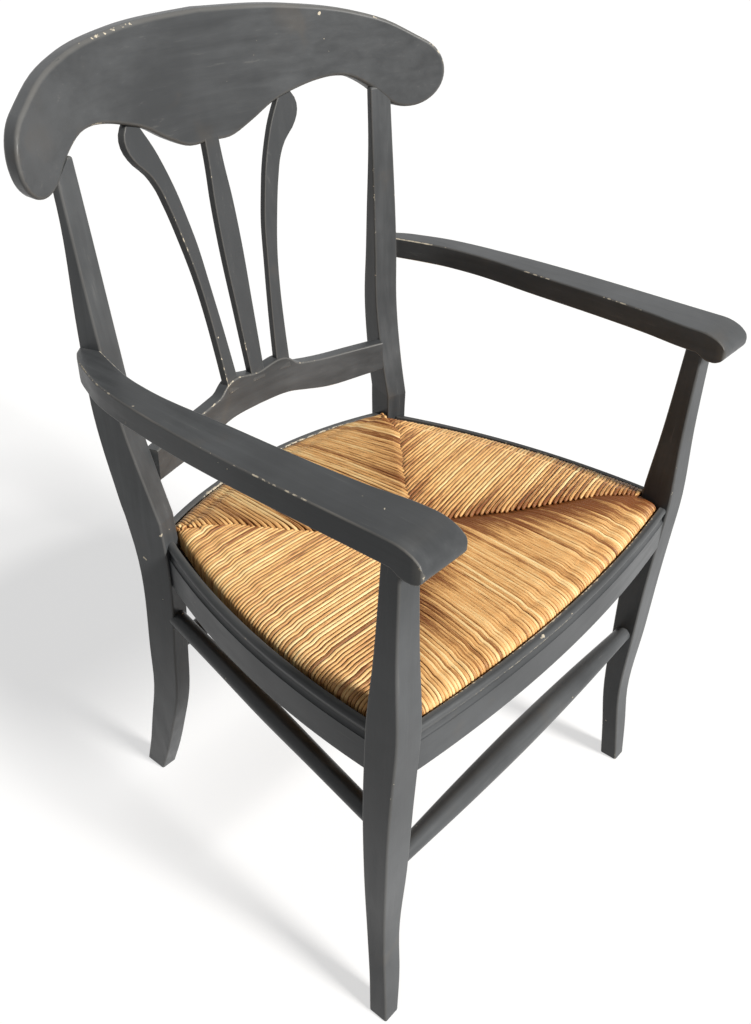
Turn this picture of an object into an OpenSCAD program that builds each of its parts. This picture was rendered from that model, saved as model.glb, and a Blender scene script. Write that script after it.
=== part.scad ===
// Country armchair with a drop-in rush seat, a fan of three back splats and a bowed crest rail.
// Sizes are in millimetres. Z is up and the sitter faces -Y. X runs to the sitter's left.
// The origin lies on the floor under the middle of the chair.

/* [Overall] */
// Height of the top of the seat rails above the floor
seat_top = 446; // [430:1:460]
// Depth from the front face of the front legs to the front face of the rear posts, at the seat
seat_depth = 384; // [360:1:410]
// Width over the front legs at the seat
front_width = 549; // [525:1:575]
// Width over the rear posts at the seat
rear_width = 424; // [410:1:440]
// Play left on each side of a tenon or screw
fit_gap = 0.2; // [0.1:0.05:0.3]
// Length of a tenon
tenon_length = 16; // [12:1:18]
// Thickness of a tenon
tenon_thick = 9; // [7:0.5:10]

/* [Front legs] */
// Width of a front leg at the seat, seen from the front
leg_width = 38; // [34:1:42]
// Width of a front leg at the foot
leg_foot_width = 22; // [20:1:28]
// Width of a front leg under the arm
leg_top_width = 26; // [24:1:32]
// Depth of a front leg at the seat
leg_depth = 38; // [36:1:42]
// Depth of a front leg at the foot
leg_foot_depth = 24; // [20:1:28]
// Depth of a front leg under the arm
leg_top_depth = 20; // [18:1:28]
// How far the ankle lies behind the front face at the seat
leg_ankle_back = 10; // [4:1:14]
// How far the top of the leg lies behind the front face at the seat
leg_top_back = 8; // [0:1:10]
// How far the ankle is drawn in from the outer face at the seat
leg_ankle_draw = 7; // [0:1:9]

/* [Rear posts] */
// Width of a rear post at the seat
post_width = 28; // [26:1:34]
// Width of a rear post at the foot
post_foot_width = 23; // [20:1:30]
// Width of a rear post behind the arm
post_arm_width = 32; // [26:1:34]
// Width of a rear post at the crest rail
post_top_width = 28; // [22:1:30]
// Depth of a rear post at the seat
post_depth = 43; // [42:1:52]
// Depth of a rear post at the foot
post_foot_depth = 33; // [26:1:40]
// Depth of a rear post behind the arm
post_arm_depth = 26; // [24:1:32]
// Depth of a rear post at the crest rail
post_top_depth = 10; // [9:1:14]
// How far the foot lies behind the front face at the seat
post_foot_back = 96; // [60:1:120]
// How far the post leans back behind the arm
post_lean = 39; // [32:1:46]
// Height of the knee above the seat rails, where the post starts to lean back
knee_rise = 31; // [16:1:40]
// Splay of a post outward from the seat to the crest rail
post_splay = 22; // [10:1:26]
// Draw of a foot inward from the seat to the floor
post_draw = 18; // [4:1:22]
// Turn of the upper post inward, towards the sitter, in degrees
post_turn = 18; // [14:1:24]

/* [Arms] */
// Height of the flat underside of the arm above the floor
arm_under = 650; // [635:1:665]
// Thickness of the arm board
arm_thick = 25; // [22:1:30]
// Width of the arm at the nose
arm_nose_width = 50; // [46:1:56]
// Width of the arm at its narrow middle
arm_waist_width = 34; // [32:1:42]
// How far the arm stands out past the outer face of the front leg
arm_overhang = 11; // [6:1:16]
// How far the nose reaches in front of the front leg
arm_reach = 23; // [16:1:34]
// How far the nose droops below the underside of the arm
arm_droop = 6; // [4:1:10]

/* [Back] */
// Height of the top of the crest rail at its middle
crest_top = 945; // [930:1:965]
// Height of the crest rail itself, at its middle
crest_height = 127; // [118:1:138]
// Overall width of the crest rail
crest_width = 583; // [570:1:600]
// Depth of the bow in the crest rail, over its whole width
crest_bow = 96; // [86:1:104]
// Thickness of the crest rail
crest_thick = 18; // [16:1:24]
// Backward tilt of the crest rail, in degrees
crest_tilt = 3; // [0:0.5:5]
// Depth from the front face of the rear posts at the seat to the middle of the crest rail's front face
crest_back = 120; // [112:1:128]
// Height of the top of the lower back rail at its middle
low_rail_top = 564; // [555:1:580]
// Height of the lower back rail at its middle
low_rail_height = 43; // [38:1:50]
// Thickness of the lower back rail
low_rail_thick = 16; // [15:1:20]
// Depth from the front face of the rear posts at the seat to the middle of the lower back rail
low_rail_back = 62; // [56:1:68]
// Thickness of a splat
splat_thick = 10; // [9:1:12]

/* [Seat rails] */
// Height of a seat rail
rail_height = 57; // [53:1:66]
// Thickness of a seat rail
rail_thick = 24; // [22:1:26]
// Width of the lip that stands outside the rush seat
lip_width = 9; // [8:1:11]
// Depth of the rebate that the rush seat lies in
rebate_depth = 26; // [22:1:28]
// Setback of the front rail behind the front face of the legs, at its ends
front_setback = 4; // [2:1:8]
// Setback of a side rail inside the outer face of the front leg
side_setback = 6; // [4:1:8]
// Setback of the rear rail behind the front face of the rear posts, at its ends
rear_setback = 6; // [5:1:9]
// Outward bow of the front rail
front_bow = 17; // [10:1:20]
// Outward bow of a side rail
side_bow = 16; // [10:1:18]
// Backward bow of the rear rail
rear_bow = 39; // [33:1:42]
// Length of a corner block along the rails
block_length = 55; // [45:1:65]

/* [Stretchers] */
// Height of the middle of the front stretcher
front_stretcher_z = 241; // [220:1:260]
// Height of the middle of the side stretchers at the front legs
side_stretcher_z = 309; // [296:1:320]
// Rise of a side stretcher towards the rear
side_stretcher_rise = 28; // [16:1:32]
// Height of the middle of the rear stretcher
rear_stretcher_z = 275; // [255:1:285]
// Thickness of the front and rear stretchers at their middle
stretcher_thick = 33; // [28:1:38]
// Thickness of a side stretcher at its middle
side_stretcher_thick = 25; // [24:1:30]
// Thickness of a stretcher where it meets a leg
stretcher_end = 21; // [19:1:22]
// Diameter of the round tenon at the end of a stretcher
stretcher_tenon = 15; // [12:1:17]

/* [Rush seat] */
// Height of the middle of the rush above the top of the seat rails
rush_rise = 22; // [16:1:28]
// Height of the rolled edge of the rush above the top of the seat rails
rush_edge_rise = 9; // [5:1:12]
// Thickness of the woven rush
rush_wall = 6; // [5:0.5:7]
// Gap between the rush and the wood around it
rush_gap = 2.5; // [2:0.5:4]
// How much wider that gap is at the back end of a side rail
rush_rear_draw = 8; // [0:1:10]
// Width of a bar of the loose seat frame
bar_width = 28; // [24:1:34]
// Height of a bar of the loose seat frame
bar_height = 18; // [16:1:20]

/* [Hidden] */
$fn = 64;

painted = [0.27, 0.28, 0.28];
bare_wood = [0.72, 0.56, 0.38];
straw = [0.85, 0.68, 0.40];
steel = [0.62, 0.62, 0.60];

// Steps along a curved outline, and a length past the whole chair
outline_steps = 32;
big = 2000;
// Clearance round the soft rush and its stuffing
soft_gap = 0.3;

rail_low = seat_top - rail_height;
rebate_floor = seat_top - rebate_depth;
knee_z = seat_top + knee_rise;
arm_top = arm_under + arm_thick;

crest_low = crest_top - crest_height;

// Depths, with the middle of the chair's length at zero
crest_mid_z = (crest_low + crest_top) / 2;
crest_lean = (crest_top - crest_mid_z) * tan(crest_tilt);
overall_depth = arm_reach + seat_depth + crest_back + crest_thick + crest_lean;
front_y = arm_reach - overall_depth / 2;
post_y = front_y + seat_depth;
crest_y = post_y + crest_back;
low_rail_y = post_y + low_rail_back;
leg_x = front_width / 2;
post_x = rear_width / 2;

// Radius of an arc from its half width and its bow
function arc_radius(half, bow) = (pow(half, 2) + pow(bow, 2)) / (2 * bow);
// How far an arc of this radius falls away from its middle, at the distance x from it
function arc_fall(radius, x) = radius - sqrt(pow(radius, 2) - pow(x, 2));

// Smooth curve through stations, each a place and a value; slopes come from the neighbours
function chord(s, i) = (s[i + 1][1] - s[i][1]) / (s[i + 1][0] - s[i][0]);
function slope(s, i) =
    i == 0 ? chord(s, 0)
    : i == len(s) - 1 ? chord(s, i - 1)
    : let (before = s[i][0] - s[i - 1][0], after = s[i + 1][0] - s[i][0])
      (chord(s, i - 1) * after + chord(s, i) * before) / (before + after);
function span_of(s, t, i = 0) = i >= len(s) - 2 || t < s[i + 1][0] ? i : span_of(s, t, i + 1);
function smooth_at(s, t) =
    let (i = span_of(s, t), h = s[i + 1][0] - s[i][0], u = (t - s[i][0]) / h)
    s[i][1] * (1 + 2 * u) * pow(1 - u, 2) + slope(s, i) * h * u * pow(1 - u, 2)
    + s[i + 1][1] * (3 - 2 * u) * pow(u, 2) + slope(s, i + 1) * h * (u - 1) * pow(u, 2);

function steps(from, to, n) = [for (k = [0 : n]) from + (to - from) * k / n];
function reversed(list) = [for (k = [len(list) - 1 : -1 : 0]) list[k]];
function last(list) = list[len(list) - 1];

// Points on part of an ellipse, from one angle to another
function arc(centre, across, up, from, to, n) =
    [for (a = steps(from, to, n)) [centre[0] + across * cos(a), centre[1] + up * sin(a)]];

// Outline between two curves over the same places, as [value, place] points
function strip(curve_a, curve_b, places) = concat(
    [for (t = places) [smooth_at(curve_a, t), t]],
    [for (t = reversed(places)) [smooth_at(curve_b, t), t]]
);
// Whole outline from its left half, which starts and ends on the middle line
function both_halves(half) = concat(half, [for (p = reversed(half)) if (p[0] > 0) [-p[0], p[1]]]);

// Prisms: an outline seen from the side or from the front
module side_prism(points, x0, x1)
    translate([x0, 0, 0]) rotate([90, 0, 90]) linear_extrude(x1 - x0) polygon(points);
module front_prism(points)
    translate([0, big, 0]) rotate([90, 0, 0]) linear_extrude(2 * big) polygon(points);

// Solid through a stack of rings, each a list of points going round anticlockwise seen from above
module loft(rings) {
    n = len(rings[0]);
    top = len(rings) - 1;
    polyhedron(
        points = [for (ring = rings) each ring],
        faces = concat(
            [[for (k = [0 : n - 1]) k]],
            [for (i = [0 : top - 1], k = [0 : n - 1]) let (a = i * n + k, b = i * n + (k + 1) % n)
                each [[a, a + n, b], [b, a + n, b + n]]],
            [[for (k = [n - 1 : -1 : 0]) top * n + k]]
        )
    );
}

// One side's shape and its copy mirrored across the middle
module both_sides() {
    children();
    mirror([1, 0, 0]) children();
}

// Board between a low and a high height, bowed to a radius, with its hollow face towards the sitter
module hollow_board(front_middle_y, thick, radius, z0, z1)
    translate([0, front_middle_y - radius, z0])
        rotate([0, 0, 45]) rotate_extrude(angle = 90, $fn = 360)
            translate([radius, 0]) square([thick, z1 - z0]);

// Front leg: one piece from the foot to the arm
leg_ankle_z = 0.32 * rail_low;
leg_calf_z = 0.62 * rail_low;
leg_full_z = 0.88 * rail_low;
leg_waist_z = seat_top + 0.46 * (arm_under - seat_top);
leg_front_line = [
    [0, front_y - 2], [0.5 * leg_ankle_z, front_y + 0.35 * leg_ankle_back], [leg_ankle_z, front_y + leg_ankle_back],
    [leg_calf_z, front_y + 0.8 * leg_ankle_back], [leg_full_z, front_y + 6], [rail_low, front_y + 4],
    [seat_top, front_y + 1.5],
    [leg_waist_z, front_y + 0.75 * leg_top_back], [arm_under, front_y + leg_top_back]
];
leg_depth_line = [
    [0, leg_foot_depth + 1], [0.5 * leg_ankle_z, leg_foot_depth], [leg_ankle_z, leg_foot_depth + 1],
    [leg_calf_z, 0.8 * leg_depth], [leg_full_z, 0.9 * leg_depth], [rail_low + 10, 0.96 * leg_depth],
    [seat_top, leg_depth], [leg_waist_z, 0.46 * (leg_depth + leg_top_depth)], [arm_under, leg_top_depth]
];
leg_inner_line = [
    [0, leg_x - 1 - leg_foot_width], [0.5 * leg_ankle_z, leg_x - 0.8 * leg_width],
    [leg_ankle_z, leg_x - 0.9 * leg_width], [leg_full_z, leg_x - 1.03 * leg_width],
    [seat_top, leg_x + 1 - leg_width], [arm_under, leg_x - 1 - leg_top_width]
];
leg_outer_line = [
    [0, leg_x - 1], [0.5 * leg_ankle_z, leg_x - 0.5 * leg_ankle_draw], [leg_ankle_z, leg_x - leg_ankle_draw],
    [leg_calf_z, leg_x - 0.3 * leg_ankle_draw], [leg_full_z, leg_x], [seat_top, leg_x], [arm_under, leg_x - 1]
];

function leg_front_at(z) = smooth_at(leg_front_line, z);
function leg_back_at(z) = leg_front_at(z) + smooth_at(leg_depth_line, z);
function leg_inner_at(z) = smooth_at(leg_inner_line, z);

module leg_blank() {
    heights = steps(0, arm_under, outline_steps);
    intersection() {
        side_prism(
            concat(
                [for (z = heights) [leg_front_at(z), z]],
                [for (z = reversed(heights)) [leg_back_at(z), z]]
            ), 0, big
        );
        front_prism(strip(leg_inner_line, leg_outer_line, heights));
    }
}

// Rear post: one piece from the foot to the crest rail, turned inward above the seat
arm_mid_z = arm_under + arm_thick / 2;
crest_radius = arc_radius(crest_width / 2, crest_bow);
post_top_x = post_x + post_splay;
post_top_z = crest_low + 24;
post_head_inset = 2;
post_top_y = crest_y - arc_fall(crest_radius, post_top_x) - (crest_mid_z - post_top_z) * tan(crest_tilt)
    + post_head_inset;
post_front_low = [
    [0, post_y + post_foot_back], [0.16 * rail_low, post_y + 0.72 * post_foot_back],
    [0.31 * rail_low, post_y + 0.49 * post_foot_back], [0.52 * rail_low, post_y + 0.21 * post_foot_back],
    [0.73 * rail_low, post_y + 0.09 * post_foot_back], [rail_low, post_y], [knee_z, post_y + 2]
];
post_front_high = [
    [knee_z, post_y + 2], [knee_z + 0.25 * (arm_under - knee_z), post_y + 0.37 * post_lean],
    [knee_z + 0.71 * (arm_under - knee_z), post_y + 0.83 * post_lean], [arm_mid_z, post_y + post_lean],
    [post_top_z, post_top_y]
];
post_depth_line = [
    [0, post_foot_depth], [0.31 * rail_low, post_foot_depth + 8], [0.6 * rail_low, post_depth],
    [seat_top, post_depth], [knee_z, post_depth + 2], [knee_z + 0.25 * (arm_under - knee_z), post_depth - 2],
    [arm_mid_z, post_arm_depth], [arm_mid_z + 0.21 * (post_top_z - arm_mid_z), 0.5 * (post_arm_depth + post_top_depth) + 4],
    [post_top_z - 42, post_top_depth + 1], [post_top_z, post_top_depth]
];
post_width_line = [
    [0, post_foot_width], [0.5 * rail_low, post_width - 4], [seat_top, post_width],
    [arm_mid_z, post_arm_width], [post_top_z, post_top_width]
];
post_outer_line = [
    [0, post_x - post_draw], [0.65 * rail_low, post_x - 1], [seat_top, post_x],
    [arm_mid_z, post_x + 0.77 * post_splay], [post_top_z, post_top_x]
];
post_turn_line = [
    [0, 0], [0.65 * rail_low, 0.3 * post_turn], [seat_top, post_turn], [post_top_z, post_turn]
];

function post_front_at(z) = smooth_at(z < knee_z ? post_front_low : post_front_high, z);
function post_turn_at(z) = smooth_at(post_turn_line, z);
function post_inward(z) = [-cos(post_turn_at(z)), sin(post_turn_at(z)), 0];
function post_rearward(z) = [sin(post_turn_at(z)), cos(post_turn_at(z)), 0];
function post_corner(z) = [smooth_at(post_outer_line, z), post_front_at(z), z];
function post_middle(z) = post_corner(z) + post_inward(z) * smooth_at(post_width_line, z) / 2
    + post_rearward(z) * smooth_at(post_depth_line, z) / 2;
function post_ring(z) =
    let (
        corner = post_corner(z),
        back = post_rearward(z) * smooth_at(post_depth_line, z),
        across = post_inward(z) * smooth_at(post_width_line, z)
    )
    [corner, corner + back, corner + back + across, corner + across];

// Depth in front of a post that the ends of the lower back rail keep clear
post_clearance = 6;
module post_blank()
    loft([for (z = concat(steps(0, knee_z - 1, 20), steps(knee_z, post_top_z, 18))) post_ring(z)]);

// Crest rail: a bowed board sawn to a wavy outline with round lobes
lobe_radius = 0.303 * crest_height;
lobe_turn = 60;
lobe_x = crest_width / 2 - lobe_radius;
lobe_z = crest_top - 0.634 * crest_height;
lobe_top = arc([lobe_x, lobe_z], lobe_radius, lobe_radius, lobe_turn, -2 * lobe_turn, 18);
crest_top_line = [
    [0, crest_top], [0.47 * lobe_x, crest_top - 0.04 * crest_height],
    [0.77 * lobe_x, crest_top - 0.122 * crest_height], [0.92 * lobe_x, crest_top - 0.209 * crest_height],
    lobe_top[0]
];
crest_low_line = concat(
    [for (p = [[0, 0], [0.118, 0], [0.237, 0.094], [0.355, 0.217], [0.474, 0.295], [0.592, 0.35], [0.67, 0.366],
        [0.73, 0.354], [0.82, 0.268]]) [p[0] * lobe_x, crest_low + p[1] * crest_height]],
    [last(lobe_top)]
);
crest_outline = both_halves(concat(
    [for (x = steps(0, lobe_top[0][0], 20)) [x, smooth_at(crest_top_line, x)]],
    [for (k = [1 : len(lobe_top) - 2]) lobe_top[k]],
    [for (x = reversed(steps(0, last(lobe_top)[0], 24))) [x, smooth_at(crest_low_line, x)]]
));

module crest_blank()
    intersection() {
        front_prism(crest_outline);
        translate([0, crest_y, crest_mid_z]) rotate([-crest_tilt, 0, 0])
            translate([0, 0, -crest_mid_z])
                hollow_board(0, crest_thick, crest_radius, crest_low - 100, crest_top + 100);
    }

// Lower back rail: bowed like the crest rail, arched below and raised in the middle under the splats
low_rail_end = post_x - 4;
plateau_x = 54;
low_rail_top_line = [
    [0, low_rail_top], [plateau_x, low_rail_top - 0.5], [plateau_x + 9, low_rail_top - 8],
    [plateau_x + 22, low_rail_top - 11], [plateau_x + 42, low_rail_top - 13.5],
    [plateau_x + 100, low_rail_top - 14.5], [low_rail_end, low_rail_top - 12]
];
low_rail_base = low_rail_top - low_rail_height;
low_rail_low_line = [
    [0, low_rail_base], [plateau_x, low_rail_base - 2], [plateau_x + 23, low_rail_base - 7],
    [2 * plateau_x, low_rail_base - 12.5], [3 * plateau_x, low_rail_base - 11], [low_rail_end, low_rail_base - 5]
];
low_rail_outline = both_halves(concat(
    [for (x = steps(0, low_rail_end, 32)) [x, smooth_at(low_rail_top_line, x)]],
    [for (x = reversed(steps(0, low_rail_end, 20))) [x, smooth_at(low_rail_low_line, x)]]
));
low_rail_radius = crest_radius;

module low_rail_blank()
    intersection() {
        front_prism(low_rail_outline);
        hollow_board(low_rail_y, low_rail_thick, low_rail_radius, low_rail_base - 40, low_rail_top + 40);
    }

// Splats: flat boards sawn to an outline, leaning back from the lower rail to the crest rail
splat_foot_z = low_rail_top - 12;
splat_head_x = 115;
splat_foot_x = 41;
splat_inset = 1;
splat_head_z = crest_low + 41;
splat_rise = splat_head_z - splat_foot_z;
// Stations up a splat: a share of its height, then a distance from the middle of the chair
function splat_line(stations) = [for (s = stations) [splat_foot_z + s[0] * splat_rise, s[1]]];
splat_outer_line = splat_line([
    [0, 50.5], [0.192, 53.5], [0.319, 56.5], [0.446, 61.5], [0.583, 70.5], [0.713, 81.5], [0.775, 88.5], [0.827, 99],
    [0.866, 112], [0.909, 120.5], [0.938, 122], [0.971, 118.5], [1, 110]
]);
splat_inner_line = splat_line([
    [0, 31], [0.244, 38.5], [0.417, 45], [0.57, 51.5], [0.661, 58], [0.756, 66], [0.831, 74.5], [0.896, 83.5],
    [0.961, 95.5], [1, 103]
]);
centre_head_z = crest_low + 12;
centre_rise = centre_head_z - splat_foot_z;
centre_half_line = [
    for (s = [[0, 10.2], [0.317, 12.5], [0.586, 14.2], [0.766, 13], [0.856, 11], [0.957, 10], [1, 10]])
        [splat_foot_z + s[0] * centre_rise, s[1]]
];

// Front face of the lower rail and of the crest rail, at the distance x from the middle
function low_front_at(x) = low_rail_y - arc_fall(low_rail_radius, x);
function crest_front_at(x, z) = crest_y - arc_fall(crest_radius, x) - (crest_mid_z - z) * tan(crest_tilt);
side_splat_turn = -9;
side_splat_lean = atan(cos(side_splat_turn) * (crest_front_at(splat_head_x - 5, crest_low + 10)
    - low_front_at(splat_foot_x) - (splat_head_x - 5 - splat_foot_x) * tan(side_splat_turn))
    / (crest_low + 10 - low_rail_top));
centre_splat_lean = atan((crest_front_at(0, centre_head_z) - low_front_at(0)) / (centre_head_z - low_rail_top));

// Leaning board sawn to an outline that is given as it looks from the front
module leaning_board(outline, foot_x, lean, turn, thick)
    translate([foot_x, low_front_at(foot_x) + splat_inset, low_rail_top]) rotate([0, 0, turn]) rotate([-lean, 0, 0])
        translate([0, (splat_thick + thick) / 2, 0]) rotate([90, 0, 0]) linear_extrude(thick) polygon([
            for (p = outline) let (rise = p[1] - low_rail_top)
                [(p[0] - foot_x) / cos(turn) + rise * tan(lean) * tan(turn), rise / cos(lean)]
        ]);
module side_splat_board(outline, thick)
    leaning_board(outline, splat_foot_x, side_splat_lean, side_splat_turn, thick);
module centre_splat_board(outline, thick)
    leaning_board(outline, 0, centre_splat_lean, 0, thick);

function box_outline(x0, x1, z0, z1) = [[x0, z0], [x1, z0], [x1, z1], [x0, z1]];

module side_splat_blank()
    side_splat_board(strip(splat_inner_line, splat_outer_line, steps(splat_foot_z, splat_head_z, 44)), splat_thick);
centre_heights = steps(splat_foot_z, centre_head_z, 24);
module centre_splat_blank()
    centre_splat_board(concat(
        [for (z = centre_heights) [smooth_at(centre_half_line, z), z]],
        [for (z = reversed(centre_heights)) [-smooth_at(centre_half_line, z), z]]
    ), splat_thick);

// Arm: a board curved in plan from the post to the front leg, with a drooping nose
arm_nose_y = front_y - arm_reach;
arm_outer_x = leg_x + arm_overhang;
arm_inner_x = arm_outer_x - arm_nose_width;
arm_waist_x = arm_outer_x - arm_waist_width;
arm_corner = 9;
post_at_arm = post_ring(arm_mid_z);
function arm_y(share) = front_y + share * seat_depth;
// Sideways place along the arm, from its front part towards the face of the post
function toward(from_x, to_x, share) = from_x + share * (to_x - from_x);
arm_inner_end = post_at_arm[0][0] - 1;
arm_outer_end = post_at_arm[1][0] + 6;
arm_inner_line = [
    [arm_nose_y + arm_corner, arm_inner_x], [arm_y(0.076), toward(arm_inner_x, arm_waist_x, 0.06)],
    [arm_y(0.185), toward(arm_inner_x, arm_waist_x, 0.37)], [arm_y(0.302), toward(arm_inner_x, arm_waist_x, 0.56)],
    [arm_y(0.576), toward(arm_inner_x, arm_waist_x, 0.81)], [arm_y(0.854), arm_waist_x],
    [arm_y(0.943), toward(arm_waist_x, arm_inner_end, 0.17)],
    [arm_y(1.021), toward(arm_waist_x, arm_inner_end, 0.51)], [post_at_arm[0][1] + 5, arm_inner_end]
];
arm_outer_line = [
    [arm_nose_y + arm_corner, arm_outer_x], [arm_y(0.768), toward(arm_outer_x, arm_outer_end, 0.02)],
    [arm_y(0.896), toward(arm_outer_x, arm_outer_end, 0.14)],
    [arm_y(0.977), toward(arm_outer_x, arm_outer_end, 0.28)],
    [arm_y(1.052), toward(arm_outer_x, arm_outer_end, 0.52)],
    [arm_y(1.12), toward(arm_outer_x, arm_outer_end, 0.8)],
    [post_at_arm[1][1] - 4, arm_outer_end], [post_at_arm[1][1] + 1, post_at_arm[1][0] - 1]
];
arm_plan = concat(
    [for (y = reversed(steps(arm_nose_y + arm_corner, last(arm_outer_line)[0], 34))) [smooth_at(arm_outer_line, y), y]],
    arc([arm_outer_x - arm_corner, arm_nose_y + arm_corner], arm_corner, arm_corner, -10, -90, 8),
    arc([arm_inner_x + arm_corner, arm_nose_y + arm_corner], arm_corner, arm_corner, -90, -170, 8),
    [for (y = steps(arm_nose_y + arm_corner, last(arm_inner_line)[0], 34)) [smooth_at(arm_inner_line, y), y]],
    [[post_middle(arm_mid_z)[0], post_middle(arm_mid_z)[1]]]
);
nose_length = 48;
nose_drop = 19;
arm_profile = concat(
    [[big, arm_under], [big, arm_top]],
    arc([arm_nose_y + nose_length, arm_top - nose_drop], nose_length, nose_drop, 90, 180, 12),
    arc([arm_nose_y + 14, arm_top - nose_drop], 14, nose_drop - arm_thick - arm_droop, 170, 90, 7),
    [[arm_nose_y + 22, arm_under - arm_droop], [arm_nose_y + 28, arm_under - 0.55 * arm_droop],
     [arm_nose_y + 40, arm_under - 0.1 * arm_droop], [arm_nose_y + nose_length, arm_under]]
);

module arm_blank()
    intersection() {
        linear_extrude(big) polygon(arm_plan);
        side_prism(arm_profile, 0, big);
    }

// Cross-section of a seat rail: distance in from the outer face, then height
bead_radius = 4;
cove_depth = 3;
cove_reach = 5;
cove_z = seat_top - 13;
rail_section = concat(
    [[rail_thick, rail_low], [0, rail_low]],
    arc([0, cove_z], cove_depth, cove_reach, -90, 50, 7),
    arc([bead_radius, seat_top - bead_radius], bead_radius, bead_radius, 240, 90, 8),
    [[lip_width, seat_top], [lip_width, rebate_floor], [rail_thick, rebate_floor]]
);
rail_block = [[rail_thick, rail_low], [0, rail_low], [0, seat_top], [rail_thick, seat_top]];

// Rail bent to a radius; the sweep runs anticlockwise from the start angle about the centre
module bent_rail(section, centre, radius, start, sweep)
    translate([centre[0], centre[1], 0]) rotate([0, 0, start])
        rotate_extrude(angle = sweep, $fn = 720) polygon([for (p = section) [radius - p[0], p[1]]]);

// Front seat rail
front_rail_end = leg_inner_at(seat_top);
front_rail_y = front_y + front_setback - front_bow;
front_radius = arc_radius(front_rail_end, front_bow);
front_centre = [0, front_rail_y + front_radius];
front_half_angle = asin((front_rail_end + 1.5) / front_radius);

module front_rail_blank(section)
    bent_rail(section, front_centre, front_radius, -90 - front_half_angle, 2 * front_half_angle);

// Left seat rail, from the back of the front leg to the front of the rear post
side_front = [leg_x - side_setback, front_y + leg_depth];
side_rear = [post_x - 4, post_y];
side_run = side_rear - side_front;
side_normal = [side_run[1], -side_run[0]] / norm(side_run);
side_radius = arc_radius(norm(side_run) / 2, side_bow);
side_centre = (side_front + side_rear) / 2 - side_normal * (side_radius - side_bow);
function angle_from(centre, point) = atan2(point[1] - centre[1], point[0] - centre[0]);
side_start = angle_from(side_centre, side_front) - 0.2;
side_end = angle_from(side_centre, side_rear) + 0.45;

module side_rail_blank(section)
    bent_rail(section, side_centre, side_radius, side_start, side_end - side_start);

// Rear seat rail, bowed backwards, with a plain lip at the back
rear_rail_half = post_x - post_width / 2;
rear_rail_end_y = post_y + rear_setback + rail_thick;
rear_rail_y = rear_rail_end_y + rear_bow;
rear_radius = arc_radius(rear_rail_half, rear_bow);
rear_centre = [0, rear_rail_y - rear_radius];
rear_half_angle = asin(rear_rail_half / rear_radius);
rear_section = [
    [rail_thick, rail_low], [0, rail_low], [0, seat_top], [lip_width, seat_top],
    [lip_width, rebate_floor], [rail_thick, rebate_floor]
];
function rear_rail_inner(x) = rear_centre[1] + sqrt(pow(rear_radius - rail_thick, 2) - x * x);

module rear_rail_blank(section)
    bent_rail(section, rear_centre, rear_radius, 90 - rear_half_angle, 2 * rear_half_angle);

// Rectangular tenons; each is drawn again, larger by the gap, to cut its mortise
tenon_low = rail_low + 4;
tenon_high = rebate_floor - 3;
root = 2;

module tenon_box(from, to, gap)
    translate(from - [gap, gap, gap]) cube(to - from + 2 * [gap, gap, gap]);

module front_rail_tenon(gap = 0) {
    y = front_y + front_setback + (rail_thick - tenon_thick) / 2;
    x = leg_inner_at(rail_low);
    tenon_box([x - root, y, tenon_low], [x + 0.85 * tenon_length, y + tenon_thick, tenon_high], gap);
}
module side_rail_front_tenon(gap = 0) {
    x = side_front[0] - 5 - tenon_thick;
    y = leg_back_at(rail_low);
    tenon_box([x, y - tenon_length, tenon_low], [x + tenon_thick, y + 3 * root, tenon_high], gap);
}
module side_rail_rear_tenon(gap = 0) {
    x = side_rear[0] - 5 - tenon_thick;
    y = post_y;
    tenon_box([x, y - 2 * root, tenon_low], [x + tenon_thick, y + tenon_length + root, tenon_high], gap);
}
module rear_rail_tenon(gap = 0) {
    y = post_y + tenon_length + 3 * root;
    x = post_x - post_width;
    tenon_box([x - 3 * root, y, tenon_low], [x + tenon_length + root, y + tenon_thick, tenon_high], gap);
}
module leg_tenon(gap = 0) {
    x = (leg_inner_at(arm_under) + leg_x - 1) / 2;
    y = (leg_front_at(arm_under) + leg_back_at(arm_under)) / 2;
    tenon_box([x - tenon_thick, y - tenon_thick / 2, arm_under - root],
        [x + tenon_thick, y + tenon_thick / 2, arm_top - 6], gap);
}
module arm_tenon(gap = 0) {
    middle = post_middle(arm_mid_z);
    translate(middle) rotate([0, 0, -post_turn])
        tenon_box([-2, -tenon_thick / 2, -7], [post_arm_width / 2 + 3 * root, tenon_thick / 2, 7], gap);
}
module post_tenon(gap = 0) {
    head = post_middle(post_top_z - 6);
    width = 0.6 * post_top_width;
    translate([head[0], head[1], head[2] - 12]) rotate([0, 0, -post_turn])
        tenon_box([-width / 2, -post_top_depth / 3, 0], [width / 2, post_top_depth / 3, 38], gap);
}
module low_rail_tenon(gap = 0) {
    middle_radius = low_rail_radius + low_rail_thick / 2;
    x = post_x - post_width + 2;
    turn = asin(x / middle_radius);
    z = (low_rail_base + low_rail_top) / 2 - 10;
    translate([x, low_rail_y - low_rail_radius + middle_radius * cos(turn), z]) rotate([0, 0, -turn])
        tenon_box([-5 * root, -tenon_thick / 2, -14], [tenon_length, tenon_thick / 2, 14], gap);
}
splat_tenon_thick = splat_thick / 2;
module side_splat_tenons(gap = 0) {
    side_splat_board(
        box_outline(33 - gap, 48 + gap, low_rail_top - 16 - gap, low_rail_top + 4), splat_tenon_thick + 2 * gap
    );
    side_splat_board(
        box_outline(splat_head_x - 17 - gap, splat_head_x + gap, splat_head_z - 15, splat_head_z + 8 + gap),
        splat_tenon_thick + 2 * gap
    );
}
module centre_splat_tenons(gap = 0)
    centre_splat_board(
        box_outline(-7 - gap, 7 + gap, low_rail_top - 16 - gap, crest_low + 16 + gap), splat_tenon_thick + 2 * gap
    );

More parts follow.
